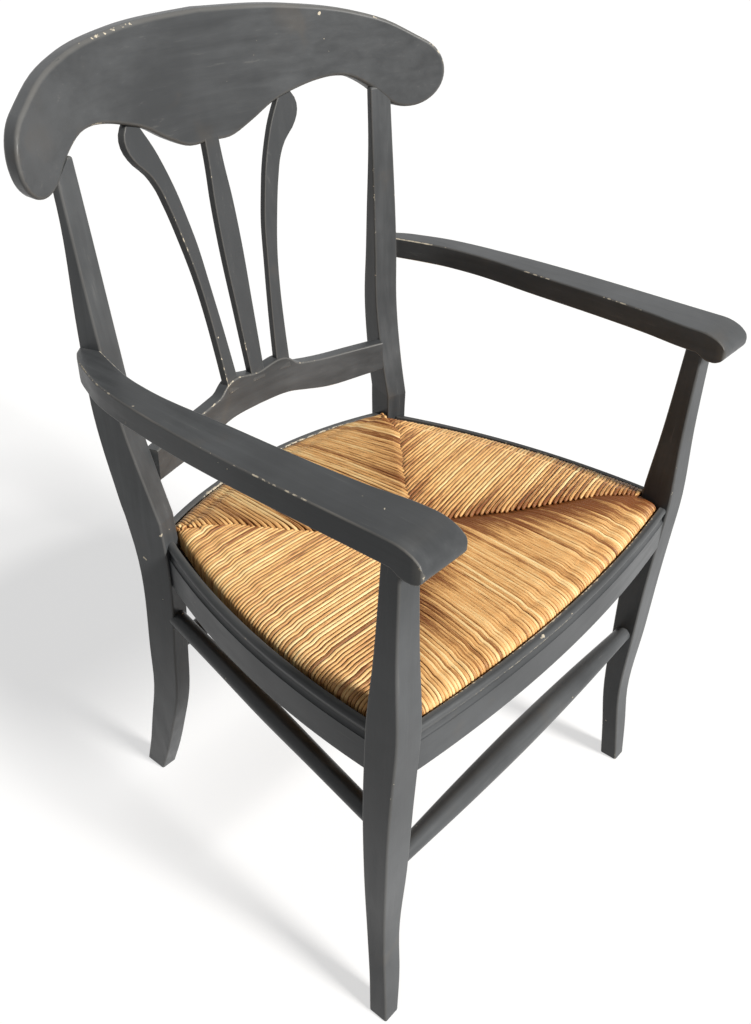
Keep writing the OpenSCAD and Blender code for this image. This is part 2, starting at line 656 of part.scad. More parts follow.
// Turned stretchers: thickest in the middle, with a round tenon at each end
module turned_bar(from, to, thick, gap = 0, tenon_only = false) {
    run = to - from;
    length = norm(run);
    side_line = [[0, stretcher_end / 2], [length / 4, 0.42 * thick + 0.04 * stretcher_end],
        [length / 2, thick / 2], [3 * length / 4, 0.42 * thick + 0.04 * stretcher_end], [length, stretcher_end / 2]];
    translate(from) rotate([0, acos(run[2] / length), atan2(run[1], run[0])]) {
        translate([0, 0, -tenon_length - gap])
            cylinder(d = stretcher_tenon + 2 * gap, h = length + 2 * (tenon_length + gap));
        if (!tenon_only)
            rotate_extrude() polygon(concat(
                [[0, 0]], [for (s = steps(0, length, 24)) [smooth_at(side_line, s), s]], [[0, length]]
            ));
    }
}
front_stretcher_y = (leg_front_at(front_stretcher_z) + leg_back_at(front_stretcher_z)) / 2;
front_stretcher_x = leg_inner_at(front_stretcher_z);
module front_stretcher_bar(gap = 0, tenon_only = false)
    turned_bar([-front_stretcher_x, front_stretcher_y, front_stretcher_z],
        [front_stretcher_x, front_stretcher_y, front_stretcher_z], stretcher_thick, gap, tenon_only);

side_stretcher_rear_z = side_stretcher_z + side_stretcher_rise;
module side_stretcher_bar(gap = 0, tenon_only = false)
    turned_bar([(leg_inner_at(side_stretcher_z) + leg_x) / 2, leg_back_at(side_stretcher_z), side_stretcher_z],
        [post_middle(side_stretcher_rear_z)[0], post_front_at(side_stretcher_rear_z) + 2, side_stretcher_rear_z],
        side_stretcher_thick, gap, tenon_only);

rear_stretcher_x = post_middle(rear_stretcher_z)[0] - post_width / 2 + 1;
module rear_stretcher_bar(gap = 0, tenon_only = false)
    turned_bar([-rear_stretcher_x, post_middle(rear_stretcher_z)[1], rear_stretcher_z],
        [rear_stretcher_x, post_middle(rear_stretcher_z)[1], rear_stretcher_z], stretcher_thick, gap, tenon_only);

// Corner blocks: triangles glued and screwed into the inner corners below the rebate
block_low = rail_low + 6;
block_high = rebate_floor - 6;
block_front_corner = [side_front[0] - rail_thick, front_y + front_setback + rail_thick];
block_rear_x = side_rear[0] - rail_thick;
block_rear_corner = [block_rear_x, rear_rail_inner(block_rear_x)];
// How much farther back the rear rail's inner face lies at the far end of its block
block_slant = rear_rail_inner(block_rear_x - block_length) - block_rear_corner[1];

module block_prism(corner, depth_sign, slant = 0)
    translate([0, 0, block_low]) linear_extrude(block_high - block_low) polygon([
        corner + [6, -6 * depth_sign], corner + [-block_length, slant - 6 * depth_sign],
        corner + [-block_length, slant + 4 * depth_sign], corner + [-4, block_length * depth_sign],
        corner + [6, block_length * depth_sign]
    ]);

// Wood screw with a countersunk head; its head lies at the origin and it points along +Z
screw_head = 8;
screw_shank = 4;
screw_length = 28;
module screw(gap = 0)
    rotate_extrude() polygon([
        [0, 0], [screw_head / 2 + gap, 0], [screw_shank / 2 + gap, screw_head / 3],
        [screw_shank / 2 + gap, screw_length - 4], [0, screw_length + gap]
    ]);
screw_inset = 10;
block_screw_z = (block_low + block_high) / 2;
rear_screw_x = block_rear_x - 0.55 * block_length;
rear_screw_point = [rear_screw_x, rear_rail_inner(rear_screw_x)];
// Places of the screws: a point on the rail's inner face, then the angle that the screw points to
block_screws = [
    [block_front_corner + [-0.55 * block_length, 0], -90],
    [block_front_corner + [0, 0.55 * block_length], 0],
    [rear_screw_point, angle_from(rear_centre, rear_screw_point)],
    [block_rear_corner + [0, -0.55 * block_length], 0]
];
module place_screw(place)
    translate([place[0][0], place[0][1], block_screw_z]) rotate([0, 0, place[1]]) rotate([0, 90, 0])
        translate([0, 0, -screw_inset]) children();
module screw_holes()
    for (place = block_screws) place_screw(place) {
        screw(fit_gap);
        translate([0, 0, -block_length]) cylinder(d = screw_head + 1, h = block_length + fit_gap);
    }

// Rush seat: a woven skin over a loose frame of four bars and its stuffing
rush_low = rebate_floor;
rush_edge_z = seat_top + rush_edge_rise;
rush_top = seat_top + rush_rise;
rush_rear_y = rear_rail_y - lip_width - rush_gap;
rush_rear_radius = rear_radius - lip_width - rush_gap;
rush_half_depth = (rush_rear_y - front_rail_y - lip_width - rush_gap) / 2;
rush_half_width = front_rail_end - 10;
roll = 12;
// Curve of the rush's side edge, which draws away from the side rail towards the back
edge_front = side_front - [lip_width + rush_gap, 0];
edge_rear = side_rear - [lip_width + rush_gap + rush_rear_draw, 0];
edge_run = edge_rear - edge_front;
edge_normal = [edge_run[1], -edge_run[0]] / norm(edge_run);
edge_radius = arc_radius(norm(edge_run) / 2, side_bow + 1);
edge_centre = (edge_front + edge_rear) / 2 - edge_normal * (edge_radius - side_bow - 1);

// Half of the section across the rush at one edge: the rolled edge, then a slow rise over the span
function rush_section(reach, span, inset) = concat(
    [[0, rush_low + inset]],
    arc([reach - roll, rush_low + roll], roll - inset, roll - inset, -90, 0, 5),
    arc([reach - 2 * roll, rush_edge_z - roll], 2 * roll - inset, roll - inset, 0, 90, 6),
    [[reach - span / 2, rush_edge_z - inset + 0.6 * (rush_top - rush_edge_z)], [reach - span, rush_top - inset],
     [0, rush_top - inset]]
);
module rush_form(inset = 0)
    intersection() {
        translate([front_centre[0], front_centre[1], 0]) rotate_extrude($fn = 360)
            polygon(rush_section(front_radius - lip_width - rush_gap, rush_half_depth, inset));
        both_sides_common() translate([edge_centre[0], edge_centre[1], 0]) rotate_extrude($fn = 360)
            polygon(rush_section(edge_radius, rush_half_width, inset));
        translate([rear_centre[0], rear_centre[1], 0]) rotate_extrude($fn = 360)
            polygon(rush_section(rush_rear_radius, rush_half_depth, inset));
    }
module both_sides_common()
    intersection() {
        children();
        mirror([1, 0, 0]) children();
    }
module rush_notches(inset = 0)
    both_sides() {
        x = leg_inner_at(seat_top) - rush_gap - inset;
        translate([x, -big, 0]) cube([big, big + front_y + leg_depth + rush_gap + inset, big]);
        translate([post_x - post_width - rush_gap - inset, post_y - rush_gap - inset, 0]) cube([big, big, big]);
    }
module rush_solid(inset = 0)
    difference() {
        rush_form(inset);
        rush_notches(inset);
    }

// Loose seat frame: side bars run right through, front and rear bars lie between them
bar_low = rush_low + rush_wall;
module bar_layer(inset, grow = 0)
    intersection() {
        difference() {
            rush_form_plan(inset);
            rush_notches(inset);
        }
        translate([-big, -big, bar_low - grow]) cube([2 * big, 2 * big, bar_height + 2 * grow]);
    }
module rush_form_plan(inset)
    intersection() {
        translate([front_centre[0], front_centre[1], 0])
            cylinder(r = front_radius - lip_width - rush_gap - inset, h = big, $fn = 360);
        both_sides_common() translate([edge_centre[0], edge_centre[1], 0])
            cylinder(r = edge_radius - inset, h = big, $fn = 360);
        translate([rear_centre[0], rear_centre[1], 0]) cylinder(r = rush_rear_radius - inset, h = big, $fn = 360);
    }
// Space inside the side bars, and the space inside the front and rear bars
module between_side_bars(grow = 0)
    both_sides_common() translate([edge_centre[0], edge_centre[1], 0])
        cylinder(r = bar_radius + grow, h = big, $fn = 360);
window_front_y = front_rail_y + front_bow + lip_width + rush_wall + bar_width;
window_rear_y = rush_rear_y - rear_bow - rush_wall - bar_width;

// Distance from the middle to the inner face of a side bar
bar_radius = edge_radius - rush_wall - bar_width;
function side_bar_inner(y) = edge_centre[0] + sqrt(pow(bar_radius, 2) - pow(y - edge_centre[1], 2));
module seat_bar_tenons(gap = 0)
    both_sides() for (y = [window_front_y - bar_width / 2, window_rear_y + bar_width / 2])
        translate([side_bar_inner(y) - 3 * root, y, bar_low + bar_height / 2]) rotate([0, 90, 0])
            cylinder(d = bar_height / 2 + 2 * gap, h = 5 * root + 3 * root + gap);
module seat_side_bar()
    difference() {
        intersection() {
            bar_layer(rush_wall);
            translate([0, -big, 0]) cube([big, 2 * big, big]);
        }
        between_side_bars();
        seat_bar_tenons(fit_gap);
    }
module seat_cross_bar(from_y, to_y) {
    intersection() {
        bar_layer(rush_wall);
        between_side_bars();
        translate([-big, from_y, 0]) cube([2 * big, to_y - from_y, big]);
    }
    intersection() {
        seat_bar_tenons();
        translate([-big, from_y, 0]) cube([2 * big, to_y - from_y, big]);
    }
}
module stuffing_form(inset)
    intersection() {
        rush_form(inset);
        between_side_bars(-soft_gap - inset + rush_wall);
        translate([-big, window_front_y + soft_gap + inset - rush_wall, 0])
            cube([2 * big, window_rear_y - window_front_y - 2 * (soft_gap + inset - rush_wall), big]);
    }

// The pieces, each in its own colour
module left_front_leg_piece()
    difference() {
        union() {
            leg_blank();
            leg_tenon();
        }
        front_rail_tenon(fit_gap);
        side_rail_front_tenon(fit_gap);
        front_stretcher_bar(fit_gap, true);
        side_stretcher_bar(fit_gap, true);
    }
module left_rear_post_piece()
    difference() {
        union() {
            difference() {
                post_blank();
                front_prism(crest_outline);
            }
            post_tenon();
        }
        side_rail_rear_tenon(fit_gap);
        rear_rail_tenon(fit_gap);
        arm_tenon(fit_gap);
        low_rail_tenon(fit_gap);
        side_stretcher_bar(fit_gap, true);
        rear_stretcher_bar(fit_gap, true);
    }
module left_arm_piece()
    difference() {
        union() {
            difference() {
                arm_blank();
                post_blank();
            }
            arm_tenon();
        }
        leg_tenon(fit_gap);
    }
module left_seat_rail_piece()
    difference() {
        union() {
            difference() {
                side_rail_blank(rail_section);
                leg_blank();
                post_blank();
            }
            side_rail_front_tenon();
            side_rail_rear_tenon();
        }
        screw_holes();
    }
module left_splat_piece() {
    difference() {
        side_splat_blank();
        front_prism(crest_outline);
        front_prism(low_rail_outline);
    }
    side_splat_tenons();
}
module front_block_piece()
    difference() {
        block_prism(block_front_corner, 1);
        front_rail_blank(rail_block);
        side_rail_blank(rail_block);
        leg_blank();
        screw_holes();
    }
module rear_block_piece()
    difference() {
        block_prism(block_rear_corner, -1, block_slant);
        side_rail_blank(rail_block);
        rear_rail_blank(rail_block);
        post_blank();
        screw_holes();
    }

module left_front_leg() color(painted) left_front_leg_piece();
module right_front_leg() color(painted) mirror([1, 0, 0]) left_front_leg_piece();
module left_rear_post() color(painted) left_rear_post_piece();
module right_rear_post() color(painted) mirror([1, 0, 0]) left_rear_post_piece();
module crest_rail()
    color(painted) difference() {
        crest_blank();
        both_sides() {
            post_tenon(fit_gap);
            side_splat_tenons(fit_gap);
        }
        centre_splat_tenons(fit_gap);
    }
module lower_back_rail()
    color(painted) difference() {
        union() {
            difference() {
                low_rail_blank();
                both_sides() {
                    post_blank();
                    translate([0, -post_clearance, 0]) post_blank();
                }
            }
            both_sides() low_rail_tenon();
        }
        both_sides() side_splat_tenons(fit_gap);
        centre_splat_tenons(fit_gap);
    }
module centre_splat()
    color(painted) {
        difference() {
            centre_splat_blank();
            front_prism(crest_outline);
            front_prism(low_rail_outline);
        }
        centre_splat_tenons();
    }
module left_splat() color(painted) left_splat_piece();
module right_splat() color(painted) mirror([1, 0, 0]) left_splat_piece();
module left_armrest() color(painted) left_arm_piece();
module right_armrest() color(painted) mirror([1, 0, 0]) left_arm_piece();
module front_seat_rail()
    color(painted) difference() {
        union() {
            difference() {
                front_rail_blank(rail_section);
                both_sides() leg_blank();
            }
            both_sides() front_rail_tenon();
        }
        both_sides() screw_holes();
    }
module rear_seat_rail()
    color(painted) difference() {
        union() {
            difference() {
                rear_rail_blank(rear_section);
                both_sides() post_blank();
            }
            both_sides() rear_rail_tenon();
        }
        both_sides() screw_holes();
    }
module left_seat_rail() color(painted) left_seat_rail_piece();
module right_seat_rail() color(painted) mirror([1, 0, 0]) left_seat_rail_piece();
module front_left_corner_block() color(bare_wood) front_block_piece();
module front_right_corner_block() color(bare_wood) mirror([1, 0, 0]) front_block_piece();
module rear_left_corner_block() color(bare_wood) rear_block_piece();
module rear_right_corner_block() color(bare_wood) mirror([1, 0, 0]) rear_block_piece();
module corner_block_screws() color(steel) both_sides() for (place = block_screws) place_screw(place) screw();
module front_stretcher() color(painted) front_stretcher_bar();
module rear_stretcher() color(painted) rear_stretcher_bar();
module left_side_stretcher() color(painted) side_stretcher_bar();
module right_side_stretcher() color(painted) mirror([1, 0, 0]) side_stretcher_bar();
module rush_seat()
    color(straw) difference() {
        rush_solid();
        bar_layer_space();
        stuffing_form(rush_wall);
    }
module bar_layer_space()
    difference() {
        bar_layer(rush_wall - soft_gap, soft_gap);
        intersection() {
            between_side_bars(-soft_gap);
            translate([-big, window_front_y + soft_gap, 0])
                cube([2 * big, window_rear_y - window_front_y - 2 * soft_gap, big]);
        }
    }
module rush_stuffing() color(straw) stuffing_form(rush_wall + soft_gap);
module seat_frame_front_bar() color(bare_wood) seat_cross_bar(-big, window_front_y);
module seat_frame_rear_bar() color(bare_wood) seat_cross_bar(window_rear_y, big);
module seat_frame_left_bar() color(bare_wood) seat_side_bar();
module seat_frame_right_bar() color(bare_wood) mirror([1, 0, 0]) seat_side_bar();

left_front_leg();
right_front_leg();
left_rear_post();
right_rear_post();
crest_rail();
lower_back_rail();
centre_splat();
left_splat();
right_splat();
left_armrest();
right_armrest();
front_seat_rail();
rear_seat_rail();
left_seat_rail();
right_seat_rail();
front_left_corner_block();
front_right_corner_block();
rear_left_corner_block();
rear_right_corner_block();
corner_block_screws();
front_stretcher();
rear_stretcher();
left_side_stretcher();
right_side_stretcher();
rush_seat();
rush_stuffing();
seat_frame_front_bar();
seat_frame_rear_bar();
seat_frame_left_bar();
seat_frame_right_bar();
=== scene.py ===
"""Country armchair in worn charcoal paint with a hand-woven rush seat, on a pale studio floor."""

import logging
import math
from contextlib import contextmanager
from dataclasses import dataclass, field
from enum import Enum
from typing import Callable, Iterator, Sequence

import bmesh
import bpy
import numpy as np
from mathutils import Matrix, Vector


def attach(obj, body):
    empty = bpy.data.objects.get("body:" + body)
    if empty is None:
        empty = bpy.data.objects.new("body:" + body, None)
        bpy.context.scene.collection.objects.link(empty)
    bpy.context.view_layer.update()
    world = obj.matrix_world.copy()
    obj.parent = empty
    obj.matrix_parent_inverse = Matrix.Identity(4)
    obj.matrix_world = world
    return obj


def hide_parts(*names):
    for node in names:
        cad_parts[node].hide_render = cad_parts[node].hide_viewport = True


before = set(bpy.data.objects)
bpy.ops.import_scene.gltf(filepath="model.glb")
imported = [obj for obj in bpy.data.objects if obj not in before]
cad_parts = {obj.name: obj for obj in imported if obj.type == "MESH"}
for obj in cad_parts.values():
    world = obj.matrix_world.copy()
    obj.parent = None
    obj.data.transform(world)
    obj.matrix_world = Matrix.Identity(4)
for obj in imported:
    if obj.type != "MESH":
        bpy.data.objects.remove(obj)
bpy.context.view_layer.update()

LOG = logging.getLogger("armchair")
MM = 0.001
# Distances in metres at which points become one, in a fresh mesh and in a bent one.
WELD, BENT_WELD = 1e-6, 1e-5
# An edge counts as rubbed from this bend on, fully after the span, and not past the bend of a cut joint. In radians.
RIM_BEND, RIM_SPAN, JOINT_BEND = 0.27, 0.2, 1.0
# How much more an edge is rubbed in the middle of a worn spot.
SPOT_GAIN = 1.2
# Angle in degrees from which the edges of a sawn piece are rounded.
SAWN_EDGE = 45.0

Point2 = tuple[float, float]
Point3 = tuple[float, float, float]
Stations = Sequence[Point2]
Spots = Sequence[Sequence[float]]
Colour = tuple[float, ...]


def smooth_at(stations: Stations, t: float) -> float:
    """Value of a smooth curve through stations.

    Args:
        stations: pairs of place and value, in rising order of place.
        t: the place asked for.

    Returns:
        The value at t, on a cubic whose slopes come from the neighbouring stations.
    """
    count = len(stations)
    gaps = [stations[i + 1][0] - stations[i][0] for i in range(count - 1)]
    chords = [(stations[i + 1][1] - stations[i][1]) / gaps[i] for i in range(count - 1)]
    inner = [(chords[i - 1] * gaps[i] + chords[i] * gaps[i - 1]) / (gaps[i - 1] + gaps[i]) for i in range(1, count - 1)]
    slopes = [chords[0], *inner, chords[-1]]
    i = 0
    while i < count - 2 and t >= stations[i + 1][0]:
        i += 1
    h = gaps[i]
    u = (t - stations[i][0]) / h
    return (stations[i][1] * (1 + 2 * u) * (1 - u) ** 2 + slopes[i] * h * u * (1 - u) ** 2
            + stations[i + 1][1] * (3 - 2 * u) * u ** 2 + slopes[i + 1] * h * (u - 1) * u ** 2)


def steps(start: float, end: float, count: int) -> list[float]:
    """Evenly spaced numbers from start to end, both included, in count steps."""
    return [start + (end - start) * k / count for k in range(count + 1)]


def arc(centre: Point2, across: float, up: float, start: float, end: float, count: int) -> list[Point2]:
    """Points on part of an ellipse.

    Args:
        centre: middle of the ellipse.
        across: half its width.
        up: half its height.
        start: first angle, in degrees.
        end: last angle, in degrees.
        count: number of steps.

    Returns:
        The points, from the first angle to the last.
    """
    return [(centre[0] + across * math.cos(math.radians(a)), centre[1] + up * math.sin(math.radians(a)))
            for a in steps(start, end, count)]


def arc_radius(half: float, bow: float) -> float:
    """Radius of an arc from its half width and its bow."""
    return (half ** 2 + bow ** 2) / (2 * bow)


def arc_fall(radius: float, x: float) -> float:
    """How far an arc of this radius has fallen away at the distance x from its middle."""
    return radius - math.sqrt(radius ** 2 - x ** 2)


def toward(start: float, end: float, share: float) -> float:
    """Number that lies the given share of the way from start to end."""
    return start + share * (end - start)


def clamp(value: float, low: float, high: float) -> float:
    """Number held between low and high."""
    return max(min(value, high), low)


def both_halves(half: Sequence[Point2]) -> list[Point2]:
    """Closed outline of a board from the half of it where X isn't negative."""
    return [*half, *((-x, z) for x, z in reversed(half) if x > 0)]


@dataclass(frozen=True)
class ChairSizes:
    """Sizes of the chair in millimetres, as its solids have them."""

    seat_top: float = 446
    seat_depth: float = 384
    front_width: float = 549
    rear_width: float = 424
    arm_under: float = 650
    arm_thick: float = 25
    arm_reach: float = 23
    crest_top: float = 945
    crest_height: float = 127
    crest_width: float = 583
    crest_bow: float = 96
    crest_thick: float = 18
    crest_tilt: float = 3
    crest_back: float = 120
    rail_height: float = 57
    rail_thick: float = 24
    lip_width: float = 9
    rebate_depth: float = 26
    leg_width: float = 38
    leg_depth: float = 38
    post_width: float = 28
    post_depth: float = 43
    post_turn: float = 18

    @property
    def rail_low(self) -> float:
        """Height of the underside of the seat rails."""
        return self.seat_top - self.rail_height

    @property
    def rebate_floor(self) -> float:
        """Height of the ledge that the rush seat lies on."""
        return self.seat_top - self.rebate_depth

    @property
    def arm_top(self) -> float:
        """Height of the top of the arms."""
        return self.arm_under + self.arm_thick

    @property
    def crest_low(self) -> float:
        """Height of the crest rail's lower edge at its middle."""
        return self.crest_top - self.crest_height

    @property
    def crest_mid(self) -> float:
        """Height of the middle of the crest rail."""
        return self.crest_top - self.crest_height / 2

    @property
    def front_y(self) -> float:
        """Depth of the front face of the front legs at the seat."""
        lean = self.crest_height / 2 * math.tan(math.radians(self.crest_tilt))
        return self.arm_reach - (self.arm_reach + self.seat_depth + self.crest_back + self.crest_thick + lean) / 2

    @property
    def post_y(self) -> float:
        """Depth of the front face of the rear posts at the seat."""
        return self.front_y + self.seat_depth

    @property
    def leg_x(self) -> float:
        """Distance of the front legs' outer faces from the middle."""
        return self.front_width / 2

    @property
    def post_x(self) -> float:
        """Distance of the rear posts' outer faces from the middle."""
        return self.rear_width / 2

    @property
    def crest_radius(self) -> float:
        """Radius of the bow of the crest rail."""
        return arc_radius(self.crest_width / 2, self.crest_bow)


CHAIR = ChairSizes()


class Side(Enum):
    """Side of the chair, as the sitter names it, with its sign along X."""

    LEFT = 1
    RIGHT = -1

    @property
    def word(self) -> str:
        """The side's name in a piece's name."""
        return self.name.lower()


class Wear(Enum):
    """How far the paint has rubbed off along the edges."""

    LIGHT = 0.48
    HEAVY = 0.62


class Grain(Enum):
    """Direction in which the wood of a piece runs, with the scale of streaks along X, Y and Z."""

    UP = (1.0, 1.0, 0.07)
    ACROSS = (0.07, 1.0, 1.0)
    DEEP = (1.0, 0.07, 1.0)


def fresh_start() -> None:
    """Leaves edit mode and deselects every object."""
    if bpy.context.object and bpy.context.object.mode != "OBJECT":
        bpy.ops.object.mode_set(mode="OBJECT")
    bpy.ops.object.select_all(action="DESELECT")


def pick(obj: bpy.types.Object) -> None:
    """Selects one object alone and makes it the active one.

    Args:
        obj: the object.
    """
    fresh_start()
    bpy.context.view_layer.objects.active = obj
    obj.select_set(True)


@contextmanager
def edit_all(obj: bpy.types.Object) -> Iterator[None]:
    """Opens edit mode on one object with all of it selected, and leaves it after the with block.

    Args:
        obj: the mesh object.

    Returns:
        The context of a with statement, which gives no value.
    """
    pick(obj)
    bpy.ops.object.mode_set(mode="EDIT")
    bpy.ops.mesh.select_all(action="SELECT")
    yield
    bpy.ops.object.mode_set(mode="OBJECT")


def point_outwards() -> None:
    """Turns every face of the mesh in edit mode outwards."""
    bpy.ops.mesh.select_all(action="SELECT")
    bpy.ops.mesh.normals_make_consistent(inside=False)


def place_points(obj: bpy.types.Object, points: np.ndarray) -> None:
    """Puts the vertices of a mesh at new places.

    Args:
        obj: the mesh object, in object mode.
        points: one row of three coordinates in metres per vertex.
    """
    obj.data.vertices.foreach_set("co", np.asarray(points, np.float32).ravel())
    obj.data.update()


def read_points(obj: bpy.types.Object) -> np.ndarray:
    """Reads the vertices of a mesh.

    Args:
        obj: the mesh object.

    Returns:
        One row of three coordinates in metres per vertex.
    """
    flat = np.empty(len(obj.data.vertices) * 3, np.float32)
    obj.data.vertices.foreach_get("co", flat)
    return flat.reshape(-1, 3).astype(float)


def wrap_rings(name: str, rings: Sequence[Sequence[Sequence[float]]]) -> bpy.types.Object:
    """Closed solid through a row of rings, shaped from a grid that is wrapped round and capped.

    Args:
        name: the piece's name.
        rings: rings of the same number of points, each point in millimetres.

    Returns:
        The mesh object.
    """
    rows, around = len(rings), len(rings[0])
    fresh_start()
    bpy.ops.mesh.primitive_grid_add(x_subdivisions=rows - 1, y_subdivisions=around, size=1.0)
    obj = bpy.context.object
    obj.name = obj.data.name = name
    flat = read_points(obj)
    row = np.rint((flat[:, 0] + 0.5) * (rows - 1)).astype(int)
    col = np.rint((flat[:, 1] + 0.5) * around).astype(int) % around
    place_points(obj, np.asarray(rings, float)[row, col] * MM)
    with edit_all(obj):
        bpy.ops.mesh.remove_doubles(threshold=WELD)
        bpy.ops.mesh.fill_holes(sides=0)
        point_outwards()
    return obj


def ease_edges(obj: bpy.types.Object, width: float, wanted: Callable[[bmesh.types.BMEdge], bool],
               segments: int = 3) -> None:
    """Rounds the chosen edges of a mesh.

    Args:
        obj: the mesh object.
        width: how far the rounding reaches from the edge, in millimetres.
        wanted: says whether an edge is rounded.
        segments: number of faces across the rounding.
    """
    with edit_all(obj):
        bpy.ops.mesh.select_mode(type="EDGE")
        bpy.ops.mesh.select_all(action="DESELECT")
        mesh = bmesh.from_edit_mesh(obj.data)
        for edge in mesh.edges:
            edge.select_set(wanted(edge))
        bmesh.update_edit_mesh(obj.data)
        bpy.ops.mesh.bevel(offset=width * MM, segments=segments, profile=0.5, affect="EDGES", clamp_overlap=False)


def sawn_edge(edge: bmesh.types.BMEdge) -> bool:
    """Says whether an edge of a sawn piece is sharp enough to be rounded."""
    return len(edge.link_faces) == 2 and edge.calc_face_angle(0.0) > math.radians(SAWN_EDGE)


def saw_board(name: str, outline: Sequence[Point2], thick: float, ease: float,
              cuts: Sequence[float] = (), cut_axis: int = 0) -> bpy.types.Object:
    """Flat board sawn to an outline, with rounded edges, cut into strips so that it can be bent.

    Args:
        name: the piece's name.
        outline: corners of the board in X and Z, in millimetres.
        thick: thickness of the board along Y.
        ease: width of the rounding of its edges.
        cuts: places of the cuts across the board.
        cut_axis: axis that the cuts stand square to, 0 for X or 2 for Z.

    Returns:
        The mesh object, with its front face at Y = 0.
    """
    fresh_start()
    bpy.ops.mesh.primitive_circle_add(vertices=len(outline), radius=1.0, fill_type="NGON")
    obj = bpy.context.object
    obj.name = obj.data.name = name
    place_points(obj, np.array([(x * MM, 0.0, z * MM) for x, z in outline]))
    with edit_all(obj):
        bpy.ops.mesh.extrude_region_move(TRANSFORM_OT_translate={"value": (0.0, thick * MM, 0.0)})
        point_outwards()
    if ease:
        ease_edges(obj, ease, lambda edge: abs(edge.verts[0].co.y - edge.verts[1].co.y) < WELD)
    square = np.eye(3)[cut_axis]
    with edit_all(obj):
        for cut in cuts:
            bpy.ops.mesh.select_all(action="SELECT")
            bpy.ops.mesh.bisect(plane_co=tuple(square * cut * MM), plane_no=tuple(square))
    return obj


def bend_points(obj: bpy.types.Object, move: Callable[[np.ndarray], np.ndarray]) -> None:
    """Moves every vertex of a mesh by a rule in millimetres, and points its faces outwards again.

    Args:
        obj: the mesh object.
        move: takes and returns rows of three coordinates in millimetres.
    """
    place_points(obj, move(read_points(obj) / MM) * MM)
    with edit_all(obj):
        bpy.ops.mesh.remove_doubles(threshold=BENT_WELD)
        point_outwards()


def inset_outline(outline: Sequence[Point2], depth: float) -> list[Point2]:
    """Outline moved inwards.

    Args:
        outline: corners of a closed outline that runs clockwise.
        depth: distance that every corner moves.

    Returns:
        The smaller outline.
    """
    moved = []
    for i, (x, z) in enumerate(outline):
        (x0, z0), (x1, z1) = outline[i - 1], outline[(i + 1) % len(outline)]
        length = math.hypot(x1 - x0, z1 - z0)
        moved.append((x + depth * (z1 - z0) / length, z - depth * (x1 - x0) / length))
    return moved


def cut_away(obj: bpy.types.Object, cutter: bpy.types.Object) -> None:
    """Takes the space of a cutter out of a piece and removes the cutter.

    Args:
        obj: the piece.
        cutter: closed solid.
    """
    pick(obj)
    cut = obj.modifiers.new("cut", "BOOLEAN")
    cut.operation, cut.solver, cut.object = "DIFFERENCE", "EXACT", cutter
    bpy.ops.object.modifier_apply(modifier="cut")
    bpy.data.objects.remove(cutter, do_unlink=True)


def mirror_copy(obj: bpy.types.Object, name: str) -> bpy.types.Object:
    """Copy of a piece on the other side of the chair, with its own mesh and its faces outwards.

    Args:
        obj: the piece to copy.
        name: name of the copy.

    Returns:
        The copy.
    """
    pick(obj)
    bpy.ops.object.duplicate(linked=False)
    twin = bpy.context.object
    twin.name = twin.data.name = name
    place_points(twin, read_points(twin) * np.array([-1.0, 1.0, 1.0]))
    with edit_all(twin):
        point_outwards()
    return twin


def mark_rims(obj: bpy.types.Object, spots: Spots = ()) -> None:
    """Writes the attribute rim: 1 on the rounded outer edges, where paint rubs off, and 0 on flats and in joints.

    Args:
        obj: the piece.
        spots: places in millimetres with more wear on their edges, each with its reach as a fourth number.
    """
    mesh = bmesh.new()
    mesh.from_mesh(obj.data)
    values = np.zeros(len(mesh.verts), np.float32)
    for edge in mesh.edges:
        if len(edge.link_faces) == 2:
            bend = edge.calc_face_angle_signed(0.0)
            strength = clamp((bend - RIM_BEND) / RIM_SPAN, 0.0, 1.0) if bend < JOINT_BEND else 0.0
            for vert in edge.verts:
                values[vert.index] = max(values[vert.index], strength)
    mesh.free()
    places = read_points(obj) / MM
    for *spot, reach in spots:
        near = np.clip(1 - np.linalg.norm(places - np.array(spot), axis=1) / reach, 0, 1)
        values = values * (1 + SPOT_GAIN * near.astype(np.float32))
    layer = obj.data.attributes.new("rim", "FLOAT", "POINT")
    layer.data.foreach_set("value", values)


def finish_piece(obj: bpy.types.Object, material: bpy.types.Material, nodes: Sequence[str],
                 smooth: float = 50.0) -> None:
    """Shades a piece, gives it its material and ties it to the frame.

    Args:
        obj: the piece.
        material: its material.
        nodes: the solids that it stands for.
        smooth: angle up to which its faces shade as one, in degrees.
    """
    pick(obj)
    bpy.ops.object.shade_smooth_by_angle(angle=math.radians(smooth))
    obj.data.materials.clear()
    obj.data.materials.append(material)
    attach(obj, "root")
    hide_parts(*nodes)
    LOG.info("%s: %d faces", obj.name, len(obj.data.polygons))


def finish_wood(obj: bpy.types.Object, paint: bpy.types.Material, node: str, smooth: float = 50.0,
                spots: Spots = ()) -> None:
    """Finishes a painted piece, so that its flats shade flat and only its rounded edges turn.

    Args:
        obj: the piece.
        paint: its paint.
        node: the solid that it stands for.
        smooth: angle up to which its faces shade as one, in degrees.
        spots: places with more wear on their edges, each with its reach.
    """
    mark_rims(obj, spots)
    finish_piece(obj, paint, [node], smooth)
    even = obj.modifiers.new("even", "WEIGHTED_NORMAL")
    even.keep_sharp = True
    bpy.ops.object.modifier_apply(modifier="even")


